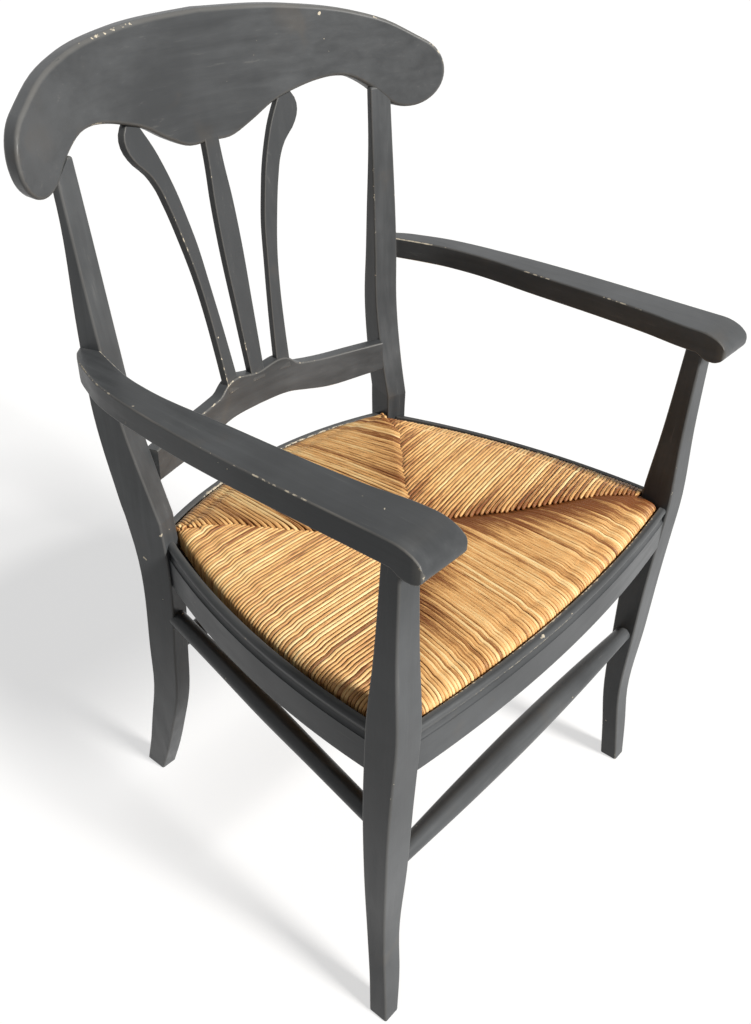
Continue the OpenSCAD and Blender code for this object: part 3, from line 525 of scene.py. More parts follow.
def finish_pair(left: bpy.types.Object, paint: bpy.types.Material, kind: str, smooth: float = 50.0,
                right_spots: Spots = ()) -> None:
    """Makes the right twin of a left piece and finishes both.

    Args:
        left: the left piece.
        paint: their paint.
        kind: their common name, such as front_leg.
        smooth: angle up to which their faces shade as one, in degrees.
        right_spots: places with more wear on the right piece.
    """
    right = mirror_copy(left, f"{Side.RIGHT.word}_{kind}_wood")
    finish_wood(left, paint, f"{Side.LEFT.word}_{kind}", smooth)
    finish_wood(right, paint, f"{Side.RIGHT.word}_{kind}", smooth, right_spots)


@dataclass
class Sheet:
    """A node tree with short ways to add and join nodes."""

    tree: bpy.types.NodeTree

    def feed(self, node: bpy.types.Node, values: dict[str | int, object]) -> None:
        """Sets or links a node's inputs.

        Args:
            node: the node.
            values: numbers or sources of its inputs, by socket name or number.
        """
        for key, value in values.items():
            if isinstance(value, bpy.types.NodeSocket):
                self.tree.links.new(value, node.inputs[key])
            else:
                node.inputs[key].default_value = value

    def add(self, kind: str, values: dict[str | int, object] | None = None, **settings: object) -> bpy.types.Node:
        """Adds a node.

        Args:
            kind: the node's type.
            values: numbers or sources of its inputs, by socket name or number.
            settings: properties of the node.

        Returns:
            The node.
        """
        node = self.tree.nodes.new(kind)
        for key, setting in settings.items():
            setattr(node, key, setting)
        self.feed(node, values or {})
        return node

    def place(self) -> bpy.types.NodeSocket:
        """Place on the chair, in metres."""
        return self.add("ShaderNodeTexCoord").outputs["Object"]

    def attribute(self, name: str) -> bpy.types.NodeSocket:
        """Number that a piece's attribute holds."""
        return self.add("ShaderNodeAttribute", attribute_name=name).outputs["Fac"]

    def group(self, tree: bpy.types.NodeTree, **values: object) -> bpy.types.bpy_prop_collection:
        """Outputs of a shader group, with its inputs by name."""
        return self.add("ShaderNodeGroup", values, node_tree=tree).outputs

    def math(self, operation: str, a: object, b: object = 0.0) -> bpy.types.NodeSocket:
        """Result of a Math node on one or two numbers or sources."""
        return self.add("ShaderNodeMath", {0: a, 1: b}, operation=operation).outputs[0]

    def blend(self, *parts: tuple[bpy.types.NodeSocket, float]) -> bpy.types.NodeSocket:
        """Adds up sources by weight.

        Args:
            parts: the sources, each with its weight.

        Returns:
            The sum.
        """
        (source, weight), *rest = parts
        scaled = self.math("MULTIPLY", source, weight)
        return self.math("ADD", scaled, self.blend(*rest)) if rest else scaled

    def noise(self, vector: object, scale: float, detail: float = 3.0, rough: float = 0.5,
              warp: float = 0.0) -> bpy.types.NodeSocket:
        """Value of a noise texture at a place."""
        return self.add("ShaderNodeTexNoise", {"Vector": vector, "Scale": scale, "Detail": detail,
                                               "Roughness": rough, "Distortion": warp}).outputs["Fac"]

    def ramp(self, source: object, low: float, high: float, to_low: float = 0.0,
             to_high: float = 1.0) -> bpy.types.NodeSocket:
        """Stretches a source from one range to another with soft ends.

        Args:
            source: the source.
            low: its value that becomes to_low.
            high: its value that becomes to_high.
            to_low: lowest result.
            to_high: highest result.

        Returns:
            The stretched source.
        """
        values = {"Value": source, "From Min": low, "From Max": high, "To Min": to_low, "To Max": to_high}
        return self.add("ShaderNodeMapRange", values, interpolation_type="SMOOTHSTEP").outputs["Result"]

    def mix(self, factor: object, a: object, b: object) -> bpy.types.NodeSocket:
        """Mix of two colours, the first at a factor of 0."""
        return self.add("ShaderNodeMix", {0: factor, 6: a, 7: b}, data_type="RGBA").outputs[2]

    def bump(self, height: bpy.types.NodeSocket, strength: float, distance: float) -> bpy.types.NodeSocket:
        """Normal of a surface with fine relief, whose depth is in metres."""
        return self.add("ShaderNodeBump", {"Height": height, "Strength": strength, "Distance": distance}).outputs[0]


def open_group(name: str, inputs: dict[str, float | None], outputs: Sequence[str]) -> Sheet:
    """New shader group with its sockets.

    Args:
        name: the group's name.
        inputs: its inputs by name, each with its default number, or with None for a vector.
        outputs: names of its outputs, which are numbers.

    Returns:
        The sheet of the group's tree.
    """
    tree = bpy.data.node_groups.new(name, "ShaderNodeTree")
    for socket_name, value in inputs.items():
        kind = "NodeSocketVector" if value is None else "NodeSocketFloat"
        socket = tree.interface.new_socket(name=socket_name, in_out="INPUT", socket_type=kind)
        if value is not None:
            socket.default_value = value
    for socket_name in outputs:
        tree.interface.new_socket(name=socket_name, in_out="OUTPUT", socket_type="NodeSocketFloat")
    return Sheet(tree)


def chipped_edge_group() -> bpy.types.NodeTree:
    """Group that says where paint has rubbed off: in patches along the rims, and in rare specks on the flats.

    Returns:
        A group with inputs Vector, Rim and Amount, and outputs Mask and Depth.
    """
    sheet = open_group("ChippedEdge", {"Vector": None, "Rim": 0.0, "Amount": 0.5}, ("Mask", "Depth"))
    given = sheet.add("NodeGroupInput").outputs
    patches = sheet.noise(given["Vector"], 9.0, 2.0)
    grit = sheet.noise(given["Vector"], 170.0, 4.0, 0.65)
    reach = sheet.math("MULTIPLY", given["Rim"], sheet.ramp(patches, 0.38, 0.68, 0.25, 1.0))
    rubbed = sheet.math("ADD", sheet.math("MULTIPLY", reach, given["Amount"]), grit)
    specks = sheet.noise(given["Vector"], 120.0, 1.0, 0.4)
    rare = sheet.noise(given["Vector"], 21.0, 1.0)
    dots = sheet.math("MULTIPLY", sheet.ramp(specks, 0.755, 0.77), sheet.ramp(rare, 0.62, 0.66))
    mask = sheet.math("MAXIMUM", sheet.ramp(rubbed, 0.98, 1.06), dots)
    sheet.add("NodeGroupOutput", {"Mask": mask, "Depth": sheet.math("MULTIPLY", mask, -1.0)})
    return sheet.tree


def streak_group() -> bpy.types.NodeTree:
    """Group of long soft streaks, such as brush marks or wood grain.

    Returns:
        A group with inputs Vector and Along, and outputs Cloud, Streak and Fine.
    """
    sheet = open_group("Streaks", {"Vector": None, "Along": None}, ("Cloud", "Streak", "Fine"))
    given = sheet.add("NodeGroupInput").outputs
    drawn = sheet.add("ShaderNodeVectorMath", {0: given["Vector"], 1: given["Along"]}, operation="MULTIPLY").outputs[0]
    sheet.add("NodeGroupOutput", {"Cloud": sheet.noise(given["Vector"], 7.0, 4.0, 0.55),
                                  "Streak": sheet.noise(drawn, 95.0, 4.0, 0.6, 0.3),
                                  "Fine": sheet.noise(drawn, 420.0, 2.0, 0.5)})
    return sheet.tree


def new_material(name: str) -> tuple[bpy.types.Material, Sheet, bpy.types.Node]:
    """New material with nothing but its Principled shader.

    Args:
        name: the material's name.

    Returns:
        The material, its sheet and the shader.
    """
    material = bpy.data.materials.new(name)
    material.use_nodes = True
    material.node_tree.nodes.clear()
    sheet = Sheet(material.node_tree)
    shader = sheet.add("ShaderNodeBsdfPrincipled")
    sheet.add("ShaderNodeOutputMaterial", {0: shader.outputs[0]})
    return material, sheet, shader


def srgb(red: float, green: float, blue: float) -> Colour:
    """Colour for a shader socket from the values that a screen shows."""
    return tuple(c / 12.92 if c <= 0.04045 else ((c + 0.055) / 1.055) ** 2.4 for c in (red, green, blue)) + (1.0,)


@dataclass(frozen=True)
class CharcoalPaint:
    """Satin charcoal paint, rubbed through to pale wood along the edges."""

    chipped: bpy.types.NodeTree
    streaks: bpy.types.NodeTree
    dark: Colour = srgb(0.236, 0.243, 0.249)
    light: Colour = srgb(0.330, 0.338, 0.345)
    bare: Colour = srgb(0.80, 0.76, 0.68)
    smudge: Colour = srgb(0.38, 0.34, 0.29)
    smudge_share: float = 0.2
    scuff: Colour = srgb(0.50, 0.49, 0.47)
    scuff_share: float = 0.16
    thin: Colour = srgb(0.48, 0.47, 0.45)
    thin_share: float = 0.35
    roughness: float = 0.37
    bare_roughness: float = 0.35
    specular: float = 0.2

    def build(self, grain: Grain, wear: Wear) -> bpy.types.Material:
        """Makes the paint for wood that runs in one direction.

        Args:
            grain: direction of the wood.
            wear: how far its edges are rubbed.

        Returns:
            The material, which reads the attribute rim.
        """
        material, sheet, shader = new_material(f"charcoal_paint_{grain.name.lower()}_{wear.name.lower()}")
        place, rim = sheet.place(), sheet.attribute("rim")
        worn = sheet.group(self.chipped, Vector=place, Rim=rim, Amount=wear.value)
        drawn = sheet.group(self.streaks, Vector=place, Along=grain.value)
        clouds = sheet.ramp(sheet.blend((drawn["Cloud"], 0.75), (drawn["Streak"], 0.35)), 0.35, 0.8)
        stains = sheet.ramp(sheet.noise(place, 13.0, 3.0, 0.6, 0.4), 0.60, 0.76, 0.0, self.smudge_share)
        scratches = sheet.ramp(sheet.math("MULTIPLY", drawn["Fine"], drawn["Streak"]), 0.36, 0.48, 0.0,
                               self.scuff_share)
        paint = sheet.mix(clouds, self.dark, self.light)
        for share, colour in ((stains, self.smudge), (scratches, self.scuff),
                              (sheet.math("MULTIPLY", rim, self.thin_share), self.thin), (worn["Mask"], self.bare)):
            paint = sheet.mix(share, paint, colour)
        brushed = sheet.ramp(drawn["Streak"], 0.3, 0.7, self.roughness - 0.05, self.roughness + 0.07)
        relief = sheet.blend((drawn["Streak"], 0.5), (drawn["Fine"], 0.25), (worn["Depth"], 1.0))
        sheet.feed(shader, {"Base Color": paint,
                            "Roughness": sheet.blend((brushed, 1.0), (worn["Mask"], self.bare_roughness)),
                            "Specular IOR Level": self.specular,
                            "Normal": sheet.bump(relief, 0.35, 0.0006)})
        return material


@dataclass(frozen=True)
class BareWood:
    """Sawn wood of the hidden blocks and bars."""

    streaks: bpy.types.NodeTree
    light: Colour = srgb(0.80, 0.66, 0.47)
    dark: Colour = srgb(0.62, 0.46, 0.29)

    def build(self, grain: Grain) -> bpy.types.Material:
        """Makes the wood for one direction of its grain.

        Args:
            grain: direction of the wood.

        Returns:
            The material.
        """
        material, sheet, shader = new_material(f"bare_wood_{grain.name.lower()}")
        drawn = sheet.group(self.streaks, Vector=sheet.place(), Along=grain.value)
        tone = sheet.ramp(drawn["Streak"], 0.3, 0.7)
        sheet.feed(shader, {"Base Color": sheet.mix(tone, self.dark, self.light),
                            "Roughness": sheet.ramp(drawn["Fine"], 0.3, 0.7, 0.6, 0.75),
                            "Normal": sheet.bump(drawn["Fine"], 0.4, 0.0004)})
        return material


@dataclass(frozen=True)
class ScrewSteel:
    """Dull zinc-plated steel of the screws."""

    dull: Colour = srgb(0.55, 0.55, 0.52)
    bright: Colour = srgb(0.74, 0.74, 0.72)

    def build(self) -> bpy.types.Material:
        """Makes the steel.

        Returns:
            The material.
        """
        material, sheet, shader = new_material("screw_steel")
        spots = sheet.noise(sheet.place(), 300.0, 3.0)
        sheet.feed(shader, {"Base Color": sheet.mix(spots, self.dull, self.bright), "Metallic": 1.0,
                            "Roughness": sheet.ramp(spots, 0.3, 0.7, 0.3, 0.5)})
        return material


@dataclass(frozen=True)
class TwistedRush:
    """Golden straw of the twisted rush, with fibres along each strand and painted shade along the strands' sides."""

    deep: Colour = srgb(0.50, 0.29, 0.13)
    straw: Colour = srgb(0.92, 0.71, 0.45)
    pale: Colour = srgb(1.0, 0.89, 0.66)
    # Colour of the painted shade that the share shade mixes in.
    painted_shade: Colour = srgb(0.22, 0.13, 0.05)
    specular: float = 0.4

    @staticmethod
    def stretched(sheet: Sheet, run: bpy.types.NodeSocket, around: float, along: float) -> bpy.types.NodeSocket:
        """Place on a strand, scaled around it and along it."""
        return sheet.add("ShaderNodeMapping", {"Vector": run, "Scale": (around, along, 1.0)}).outputs[0]

    def build(self, name: str, shade: float) -> bpy.types.Material:
        """Makes the straw.

        Args:
            name: name of the material.
            shade: share of painted shade mixed in, from 0 to 1; the packing, seen only down in the gaps between
                strands, gets 0.75 of it.

        Returns:
            The material, which reads the UV map strand and the attribute tone.
        """
        material, sheet, shader = new_material(name)
        run = sheet.add("ShaderNodeUVMap", uv_map="strand").outputs[0]
        fibre = sheet.noise(self.stretched(sheet, run, 14.0, 1.3), 2.2, 4.0, 0.62, 0.25)
        broad = sheet.noise(self.stretched(sheet, run, 3.0, 0.35), 1.6, 3.0, 0.5)
        split = sheet.noise(self.stretched(sheet, run, 2.0, 1.1), 3.1, 2.0, 0.5)
        # The tone attribute holds each strand's own tone, lowered by painted shade near the seams.
        light = sheet.blend((fibre, 0.55), (broad, 0.35), (sheet.attribute("tone"), 0.25))
        # Painted shade: the deep colour darkens each strand's sides, where it sinks into the gap next to its
        # neighbours, broken into flecks by noise.
        turn = sheet.math("MULTIPLY", sheet.add("ShaderNodeSeparateXYZ", {0: run}).outputs[0], 2 * math.pi)
        painted_gap_shade = sheet.blend((sheet.math("ABSOLUTE", sheet.math("COSINE", turn)), 1.0), (split, 0.5))
        straw = sheet.mix(sheet.ramp(light, 0.40, 0.58), self.deep, self.straw)
        for share, colour in ((sheet.ramp(light, 0.55, 0.74), self.pale),
                              (sheet.ramp(painted_gap_shade, 1.0, 1.24, 0.0, 0.9), self.deep), (shade, self.painted_shade)):
            straw = sheet.mix(share, straw, colour)
        sheet.feed(shader, {"Base Color": straw, "Roughness": sheet.ramp(fibre, 0.3, 0.7, 0.42, 0.6),
                            "Specular IOR Level": self.specular, "Normal": sheet.bump(fibre, 0.5, 0.0006)})
        return material


@dataclass
class FrontLeg:
    """Front leg, sawn in one piece from the foot to the arm."""

    foot_width: float = 22
    top_width: float = 26
    foot_depth: float = 24
    top_depth: float = 20
    ankle_back: float = 10
    top_back: float = 8
    ankle_draw: float = 7
    arm_sink: float = 1
    ease: float = 2.6
    rings: int = 36
    lines: dict[str, Stations] = field(default_factory=dict)

    def __post_init__(self) -> None:
        """Sets the curves of the leg's four faces."""
        low, x, front = CHAIR.rail_low, CHAIR.leg_x, CHAIR.front_y
        ankle, calf, full = 0.32 * low, 0.62 * low, 0.88 * low
        waist = CHAIR.seat_top + 0.46 * (CHAIR.arm_under - CHAIR.seat_top)
        width, depth = CHAIR.leg_width, CHAIR.leg_depth
        self.lines = {
            "front": [(0, front - 2), (0.5 * ankle, front + 0.35 * self.ankle_back), (ankle, front + self.ankle_back),
                      (calf, front + 0.8 * self.ankle_back), (full, front + 6), (low, front + 4),
                      (CHAIR.seat_top, front + 1.5), (waist, front + 0.75 * self.top_back),
                      (CHAIR.arm_under, front + self.top_back)],
            "depth": [(0, self.foot_depth + 1), (0.5 * ankle, self.foot_depth), (ankle, self.foot_depth + 1),
                      (calf, 0.8 * depth), (full, 0.9 * depth), (low + 10, 0.96 * depth), (CHAIR.seat_top, depth),
                      (waist, 0.46 * (depth + self.top_depth)), (CHAIR.arm_under, self.top_depth)],
            "inner": [(0, x - 1 - self.foot_width), (0.5 * ankle, x - 0.8 * width), (ankle, x - 0.9 * width),
                      (full, x - 1.03 * width), (CHAIR.seat_top, x + 1 - width),
                      (CHAIR.arm_under, x - 1 - self.top_width)],
            "outer": [(0, x - 1), (0.5 * ankle, x - 0.5 * self.ankle_draw), (ankle, x - self.ankle_draw),
                      (calf, x - 0.3 * self.ankle_draw), (full, x), (CHAIR.seat_top, x), (CHAIR.arm_under, x - 1)],
        }

    def at(self, line: str, z: float) -> float:
        """Place of one of the leg's curves at a height."""
        return smooth_at(self.lines[line], z)

    def ring(self, z: float) -> list[Point3]:
        """Four corners of the leg at a height.

        Args:
            z: the height.

        Returns:
            The corners, from the outer front one round by the back.
        """
        front, inner, outer = self.at("front", z), self.at("inner", z), self.at("outer", z)
        back = front + self.at("depth", z)
        return [(outer, front, z), (outer, back, z), (inner, back, z), (inner, front, z)]

    def build(self, paint: bpy.types.Material) -> None:
        """Makes both front legs.

        Args:
            paint: their paint.
        """
        heights = steps(0, CHAIR.arm_under + self.arm_sink, self.rings)
        left = wrap_rings("left_front_leg_wood", [self.ring(z) for z in heights])
        ease_edges(left, self.ease, sawn_edge, segments=4)
        finish_pair(left, paint, "front_leg")


@dataclass
class RearPost:
    """Rear post, in one piece from the foot to the crest rail, turned inward above the seat."""

    foot_width: float = 23
    arm_width: float = 32
    top_width: float = 28
    foot_depth: float = 33
    arm_depth: float = 26
    top_depth: float = 10
    foot_back: float = 96
    lean: float = 39
    knee_rise: float = 31
    splay: float = 22
    draw: float = 18
    head_rise: float = 24
    head_inset: float = 2
    head_depth: float = 2.2
    head_spare: float = 8
    cutter_depth: float = 400
    rail_clear: float = 12
    ease: float = 2.4
    lines: dict[str, Stations] = field(default_factory=dict)

    @property
    def knee_z(self) -> float:
        """Height at which the post starts to lean back."""
        return CHAIR.seat_top + self.knee_rise

    @property
    def arm_z(self) -> float:
        """Height of the middle of the arm."""
        return CHAIR.arm_under + CHAIR.arm_thick / 2

    @property
    def top_z(self) -> float:
        """Height of the post's head, inside the crest rail."""
        return CHAIR.crest_low + self.head_rise

    def __post_init__(self) -> None:
        """Sets the curves of the post."""
        low, y, knee, arm_z, top_z = CHAIR.rail_low, CHAIR.post_y, self.knee_z, self.arm_z, self.top_z
        top_x = CHAIR.post_x + self.splay
        top_y = (y + CHAIR.crest_back - arc_fall(CHAIR.crest_radius, top_x)
                 - (CHAIR.crest_mid - top_z) * math.tan(math.radians(CHAIR.crest_tilt)) + self.head_inset)
        depth, back = CHAIR.post_depth, self.foot_back
        self.lines = {
            "front_low": [(0, y + back), (0.16 * low, y + 0.72 * back), (0.31 * low, y + 0.49 * back),
                          (0.52 * low, y + 0.21 * back), (0.73 * low, y + 0.09 * back), (low, y), (knee, y + 2)],
            "front_high": [(knee, y + 2), (knee + 0.25 * (CHAIR.arm_under - knee), y + 0.37 * self.lean),
                           (knee + 0.71 * (CHAIR.arm_under - knee), y + 0.83 * self.lean), (arm_z, y + self.lean),
                           (top_z, top_y)],
            "depth": [(0, self.foot_depth), (0.31 * low, self.foot_depth + 8), (0.6 * low, depth),
                      (CHAIR.seat_top, depth), (knee, depth + 2), (knee + 0.25 * (CHAIR.arm_under - knee), depth - 2),
                      (arm_z, self.arm_depth),
                      (arm_z + 0.21 * (top_z - arm_z), 0.5 * (self.arm_depth + self.top_depth) + 4),
                      (top_z - 42, self.top_depth + 1), (top_z, self.top_depth)],
            "width": [(0, self.foot_width), (0.5 * low, CHAIR.post_width - 4), (CHAIR.seat_top, CHAIR.post_width),
                      (arm_z, self.arm_width), (top_z, self.top_width)],
            "outer": [(0, CHAIR.post_x - self.draw), (0.65 * low, CHAIR.post_x - 1), (CHAIR.seat_top, CHAIR.post_x),
                      (arm_z, CHAIR.post_x + 0.77 * self.splay), (top_z, top_x)],
            "turn": [(0, 0), (0.65 * low, 0.3 * CHAIR.post_turn), (CHAIR.seat_top, CHAIR.post_turn),
                     (top_z, CHAIR.post_turn)],
        }

    def front(self, z: float) -> float:
        """Depth of the post's front face at a height."""
        return smooth_at(self.lines["front_low" if z < self.knee_z else "front_high"], z)

    def ring(self, z: float) -> list[Point3]:
        """Four corners of the post at a height.

        Args:
            z: the height.

        Returns:
            The corners, from the outer front one round by the back.
        """
        turn = math.radians(smooth_at(self.lines["turn"], z))
        depth, width = smooth_at(self.lines["depth"], z), smooth_at(self.lines["width"], z)
        x, y = smooth_at(self.lines["outer"], z), self.front(z)
        back = (math.sin(turn) * depth, math.cos(turn) * depth)
        across = (-math.cos(turn) * width, math.sin(turn) * width)
        return [(x, y, z), (x + back[0], y + back[1], z), (x + back[0] + across[0], y + back[1] + across[1], z),
                (x + across[0], y + across[1], z)]

    def middle(self, z: float) -> Point2:
        """Middle of the post at a height."""
        ring = self.ring(z)
        return (ring[0][0] + ring[2][0]) / 2, (ring[0][1] + ring[2][1]) / 2

    def clearance(self, name: str, low: float, high: float) -> bpy.types.Object:
        """Stretch of the left post, grown forwards, that cuts a rail off at the post's inner face.

        Args:
            name: name of the cutter.
            low: its lowest height.
            high: its highest height.

        Returns:
            The cutter.
        """
        rings = []
        for z in steps(low, high, 8):
            outer_front, outer_back, inner_back, inner_front = np.array(self.ring(z))
            ahead = outer_front - outer_back
            ahead = ahead / np.linalg.norm(ahead) * self.rail_clear
            rings.append([outer_front + ahead, outer_back, inner_back, inner_front + ahead])
        return wrap_rings(name, rings)

    def build(self, paint: bpy.types.Material, crest: Sequence[Point2]) -> None:
        """Makes both rear posts.

        Args:
            paint: their paint.
            crest: outline of the crest rail, which their heads are cut to.
        """
        heights = steps(0, self.knee_z - 1, 24) + steps(self.knee_z, self.top_z + self.head_spare, 28)
        left = wrap_rings("left_rear_post_wood", [self.ring(z) for z in heights])
        ease_edges(left, self.ease, sawn_edge, segments=4)
        cut_away(left, saw_board("post_head_cutter", inset_outline(crest, self.head_depth), self.cutter_depth, 0))
        finish_pair(left, paint, "rear_post")


@dataclass
class Back:
    """Crest rail, lower back rail and the fan of three splats between them."""

    post: RearPost
    lobe_turn: float = 60
    crest_ease: float = 4.6
    crest_margin: float = 6
    low_top: float = 564
    low_height: float = 43
    low_thick: float = 16
    low_back: float = 62
    low_ease: float = 2.2
    low_margin: float = 10
    cutter_spare: float = 20
    plateau: float = 54
    splat_thick: float = 10
    splat_turn: float = -9
    splat_ease: float = 1.5
    splat_inset: float = 1
    splat_start: float = 12
    foot_sink: float = 9
    foot_x: float = 41
    head_x: float = 110
    head_rise: float = 10
    outer_sink: float = 41
    centre_sink: float = 12
    outer_line: Stations = ((0, 50.5), (0.192, 53.5), (0.319, 56.5), (0.446, 61.5), (0.583, 70.5), (0.713, 81.5),
                            (0.775, 88.5), (0.827, 99), (0.866, 112), (0.909, 120.5), (0.938, 122), (0.971, 118.5),
                            (1, 110))
    inner_line: Stations = ((0, 31), (0.244, 38.5), (0.417, 45), (0.57, 51.5), (0.661, 58), (0.756, 66), (0.831, 74.5),
                            (0.896, 83.5), (0.961, 95.5), (1, 103))
    centre_line: Stations = ((0, 10.2), (0.317, 12.5), (0.586, 14.2), (0.766, 13), (0.856, 11), (0.957, 10), (1, 10))

    @property
    def lobe(self) -> Point3:
        """Middle and radius of the left lobe of the crest rail."""
        radius = 0.303 * CHAIR.crest_height
        return CHAIR.crest_width / 2 - radius, CHAIR.crest_top - 0.634 * CHAIR.crest_height, radius

    def crest_outline(self) -> list[Point2]:
        """Outline of the crest rail, seen from the front.

        Returns:
            Corners in X and height, in millimetres.
        """
        x, z, radius = self.lobe
        top, low, height = CHAIR.crest_top, CHAIR.crest_low, CHAIR.crest_height
        round_end = arc((x, z), radius, radius, self.lobe_turn, -2 * self.lobe_turn, 26)
        upper = [(0, top), (0.47 * x, top - 0.04 * height), (0.77 * x, top - 0.122 * height),
                 (0.92 * x, top - 0.209 * height), round_end[0]]
        shares = [(0, 0), (0.118, 0), (0.237, 0.094), (0.355, 0.217), (0.474, 0.295), (0.592, 0.35), (0.67, 0.366),
                  (0.73, 0.354), (0.82, 0.268)]
        lower = [(a * x, low + b * height) for a, b in shares] + [round_end[-1]]
        half = [(t, smooth_at(upper, t)) for t in steps(0, round_end[0][0], 26)][:-1] + round_end
        half += [(t, smooth_at(lower, t)) for t in reversed(steps(0, round_end[-1][0], 34))][1:]
        return both_halves(half)

    def low_outline(self) -> list[Point2]:
        """Outline of the lower back rail, seen from the front.

        Returns:
            Corners in X and height, in millimetres.
        """
        end, top, flat = CHAIR.post_x - 4, self.low_top, self.plateau
        base = top - self.low_height
        upper = [(0, top), (flat, top - 0.5), (flat + 9, top - 8), (flat + 22, top - 11), (flat + 42, top - 13.5),
                 (flat + 100, top - 14.5), (end, top - 12)]
        lower = [(0, base), (flat, base - 2), (flat + 23, base - 7), (2 * flat, base - 12.5), (3 * flat, base - 11),
                 (end, base - 5)]
        half = [(x, smooth_at(upper, x)) for x in steps(0, end, 44)]
        half += [(x, smooth_at(lower, x)) for x in reversed(steps(0, end, 26))]
        return both_halves(half)

    def crest_front(self, x: float, z: float) -> float:
        """Depth of the crest rail's front face."""
        return (CHAIR.post_y + CHAIR.crest_back - arc_fall(CHAIR.crest_radius, x)
                - (CHAIR.crest_mid - z) * math.tan(math.radians(CHAIR.crest_tilt)))

    def low_front(self, x: float) -> float:
        """Depth of the lower back rail's front face."""
        return CHAIR.post_y + self.low_back - arc_fall(CHAIR.crest_radius, x)

    def bow(self, points: np.ndarray, front_y: float, tilt: float) -> np.ndarray:
        """Bends a flat board to the bow of the back.

        Args:
            points: the board's points, with its front face at Y = 0.
            front_y: depth of the middle of the front face.
            tilt: backward tilt in degrees.

        Returns:
            The bent points.
        """
        radius = CHAIR.crest_radius
        x, thick, z = points.T
        y = front_y - radius + np.sqrt((radius + thick) ** 2 - x ** 2)
        y = y - (CHAIR.crest_mid - z) * math.tan(math.radians(tilt))
        return np.stack([x, y, z], 1)

    def build_rails(self, paint: bpy.types.Material) -> None:
        """Makes the crest rail and the lower back rail.

        Args:
            paint: their paint.
        """
        half = CHAIR.crest_width / 2 - self.crest_margin
        crest = saw_board("crest_rail_wood", self.crest_outline(), CHAIR.crest_thick, self.crest_ease,
                          steps(-half, half, 46))
        bend_points(crest, lambda p: self.bow(p, CHAIR.post_y + CHAIR.crest_back, CHAIR.crest_tilt))
        half = CHAIR.post_x - self.low_margin
        low = saw_board("lower_back_rail_wood", self.low_outline(), self.low_thick, self.low_ease,
                        steps(-half, half, 34))
        bend_points(low, lambda p: self.bow(p, CHAIR.post_y + self.low_back, 0.0))
        cutter = self.post.clearance("left_post_cutter", self.low_top - 2 * self.low_height,
                                     self.low_top + self.cutter_spare)
        for side in (cutter, mirror_copy(cutter, "right_post_cutter")):
            cut_away(low, side)
        for obj, node in ((crest, "crest_rail"), (low, "lower_back_rail")):
            finish_wood(obj, paint, node)

    def lean_board(self, obj: bpy.types.Object, foot_x: float, turn: float, head: Point2) -> None:
        """Stands a splat on the lower rail, leaning back to the crest rail and turned to follow the bow.

        Args:
            obj: the flat splat, as it looks from the front.
            foot_x: distance of its foot from the middle.
            turn: turn about the upright, in degrees.
            head: place in X and height where its front meets the crest rail's.
        """
        swing = math.radians(turn)
        reach = self.crest_front(*head) - self.low_front(foot_x) - (head[0] - foot_x) * math.tan(swing)
        lean = math.atan(math.cos(swing) * reach / (head[1] - self.low_top))
        y0 = self.low_front(foot_x) + self.splat_inset

        def move(points: np.ndarray) -> np.ndarray:
            """Places the board's points.

            Args:
                points: points of the flat board.

            Returns:
                The points of the leaning board.
            """
            x, thick, z = points.T
            rise = z - self.low_top
            across = (x - foot_x) / math.cos(swing) + rise * math.tan(lean) * math.tan(swing)
            up = rise / math.cos(lean)
            back = up * math.sin(lean) + thick * math.cos(lean)
            height = up * math.cos(lean) - thick * math.sin(lean)
            return np.stack([foot_x + across * math.cos(swing) - back * math.sin(swing),
                             y0 + across * math.sin(swing) + back * math.cos(swing), self.low_top + height], 1)

        bend_points(obj, move)

    def build_splats(self, paint: bpy.types.Material) -> None:
        """Makes the three splats.

        Args:
            paint: their paint.
        """
        foot, start = self.low_top - self.foot_sink, self.low_top - self.splat_start
        head = CHAIR.crest_low + self.outer_sink
        heights = steps(foot, head, 50)
        outline = [(smooth_at(self.inner_line, (z - start) / (head - start)), z) for z in heights]
        outline += [(smooth_at(self.outer_line, (z - start) / (head - start)), z) for z in reversed(heights)]
        left = saw_board("left_splat_wood", outline, self.splat_thick, self.splat_ease)
        self.lean_board(left, self.foot_x, self.splat_turn, (self.head_x, CHAIR.crest_low + self.head_rise))
        finish_pair(left, paint, "splat")
        head = CHAIR.crest_low + self.centre_sink
        line = [(smooth_at(self.centre_line, (z - start) / (head - start)), z) for z in steps(foot, head, 30)]
        centre = saw_board("centre_splat_wood", both_halves(line), self.splat_thick, self.splat_ease)
        self.lean_board(centre, 0.0, 0.0, (0.0, head))
        finish_wood(centre, paint, "centre_splat")


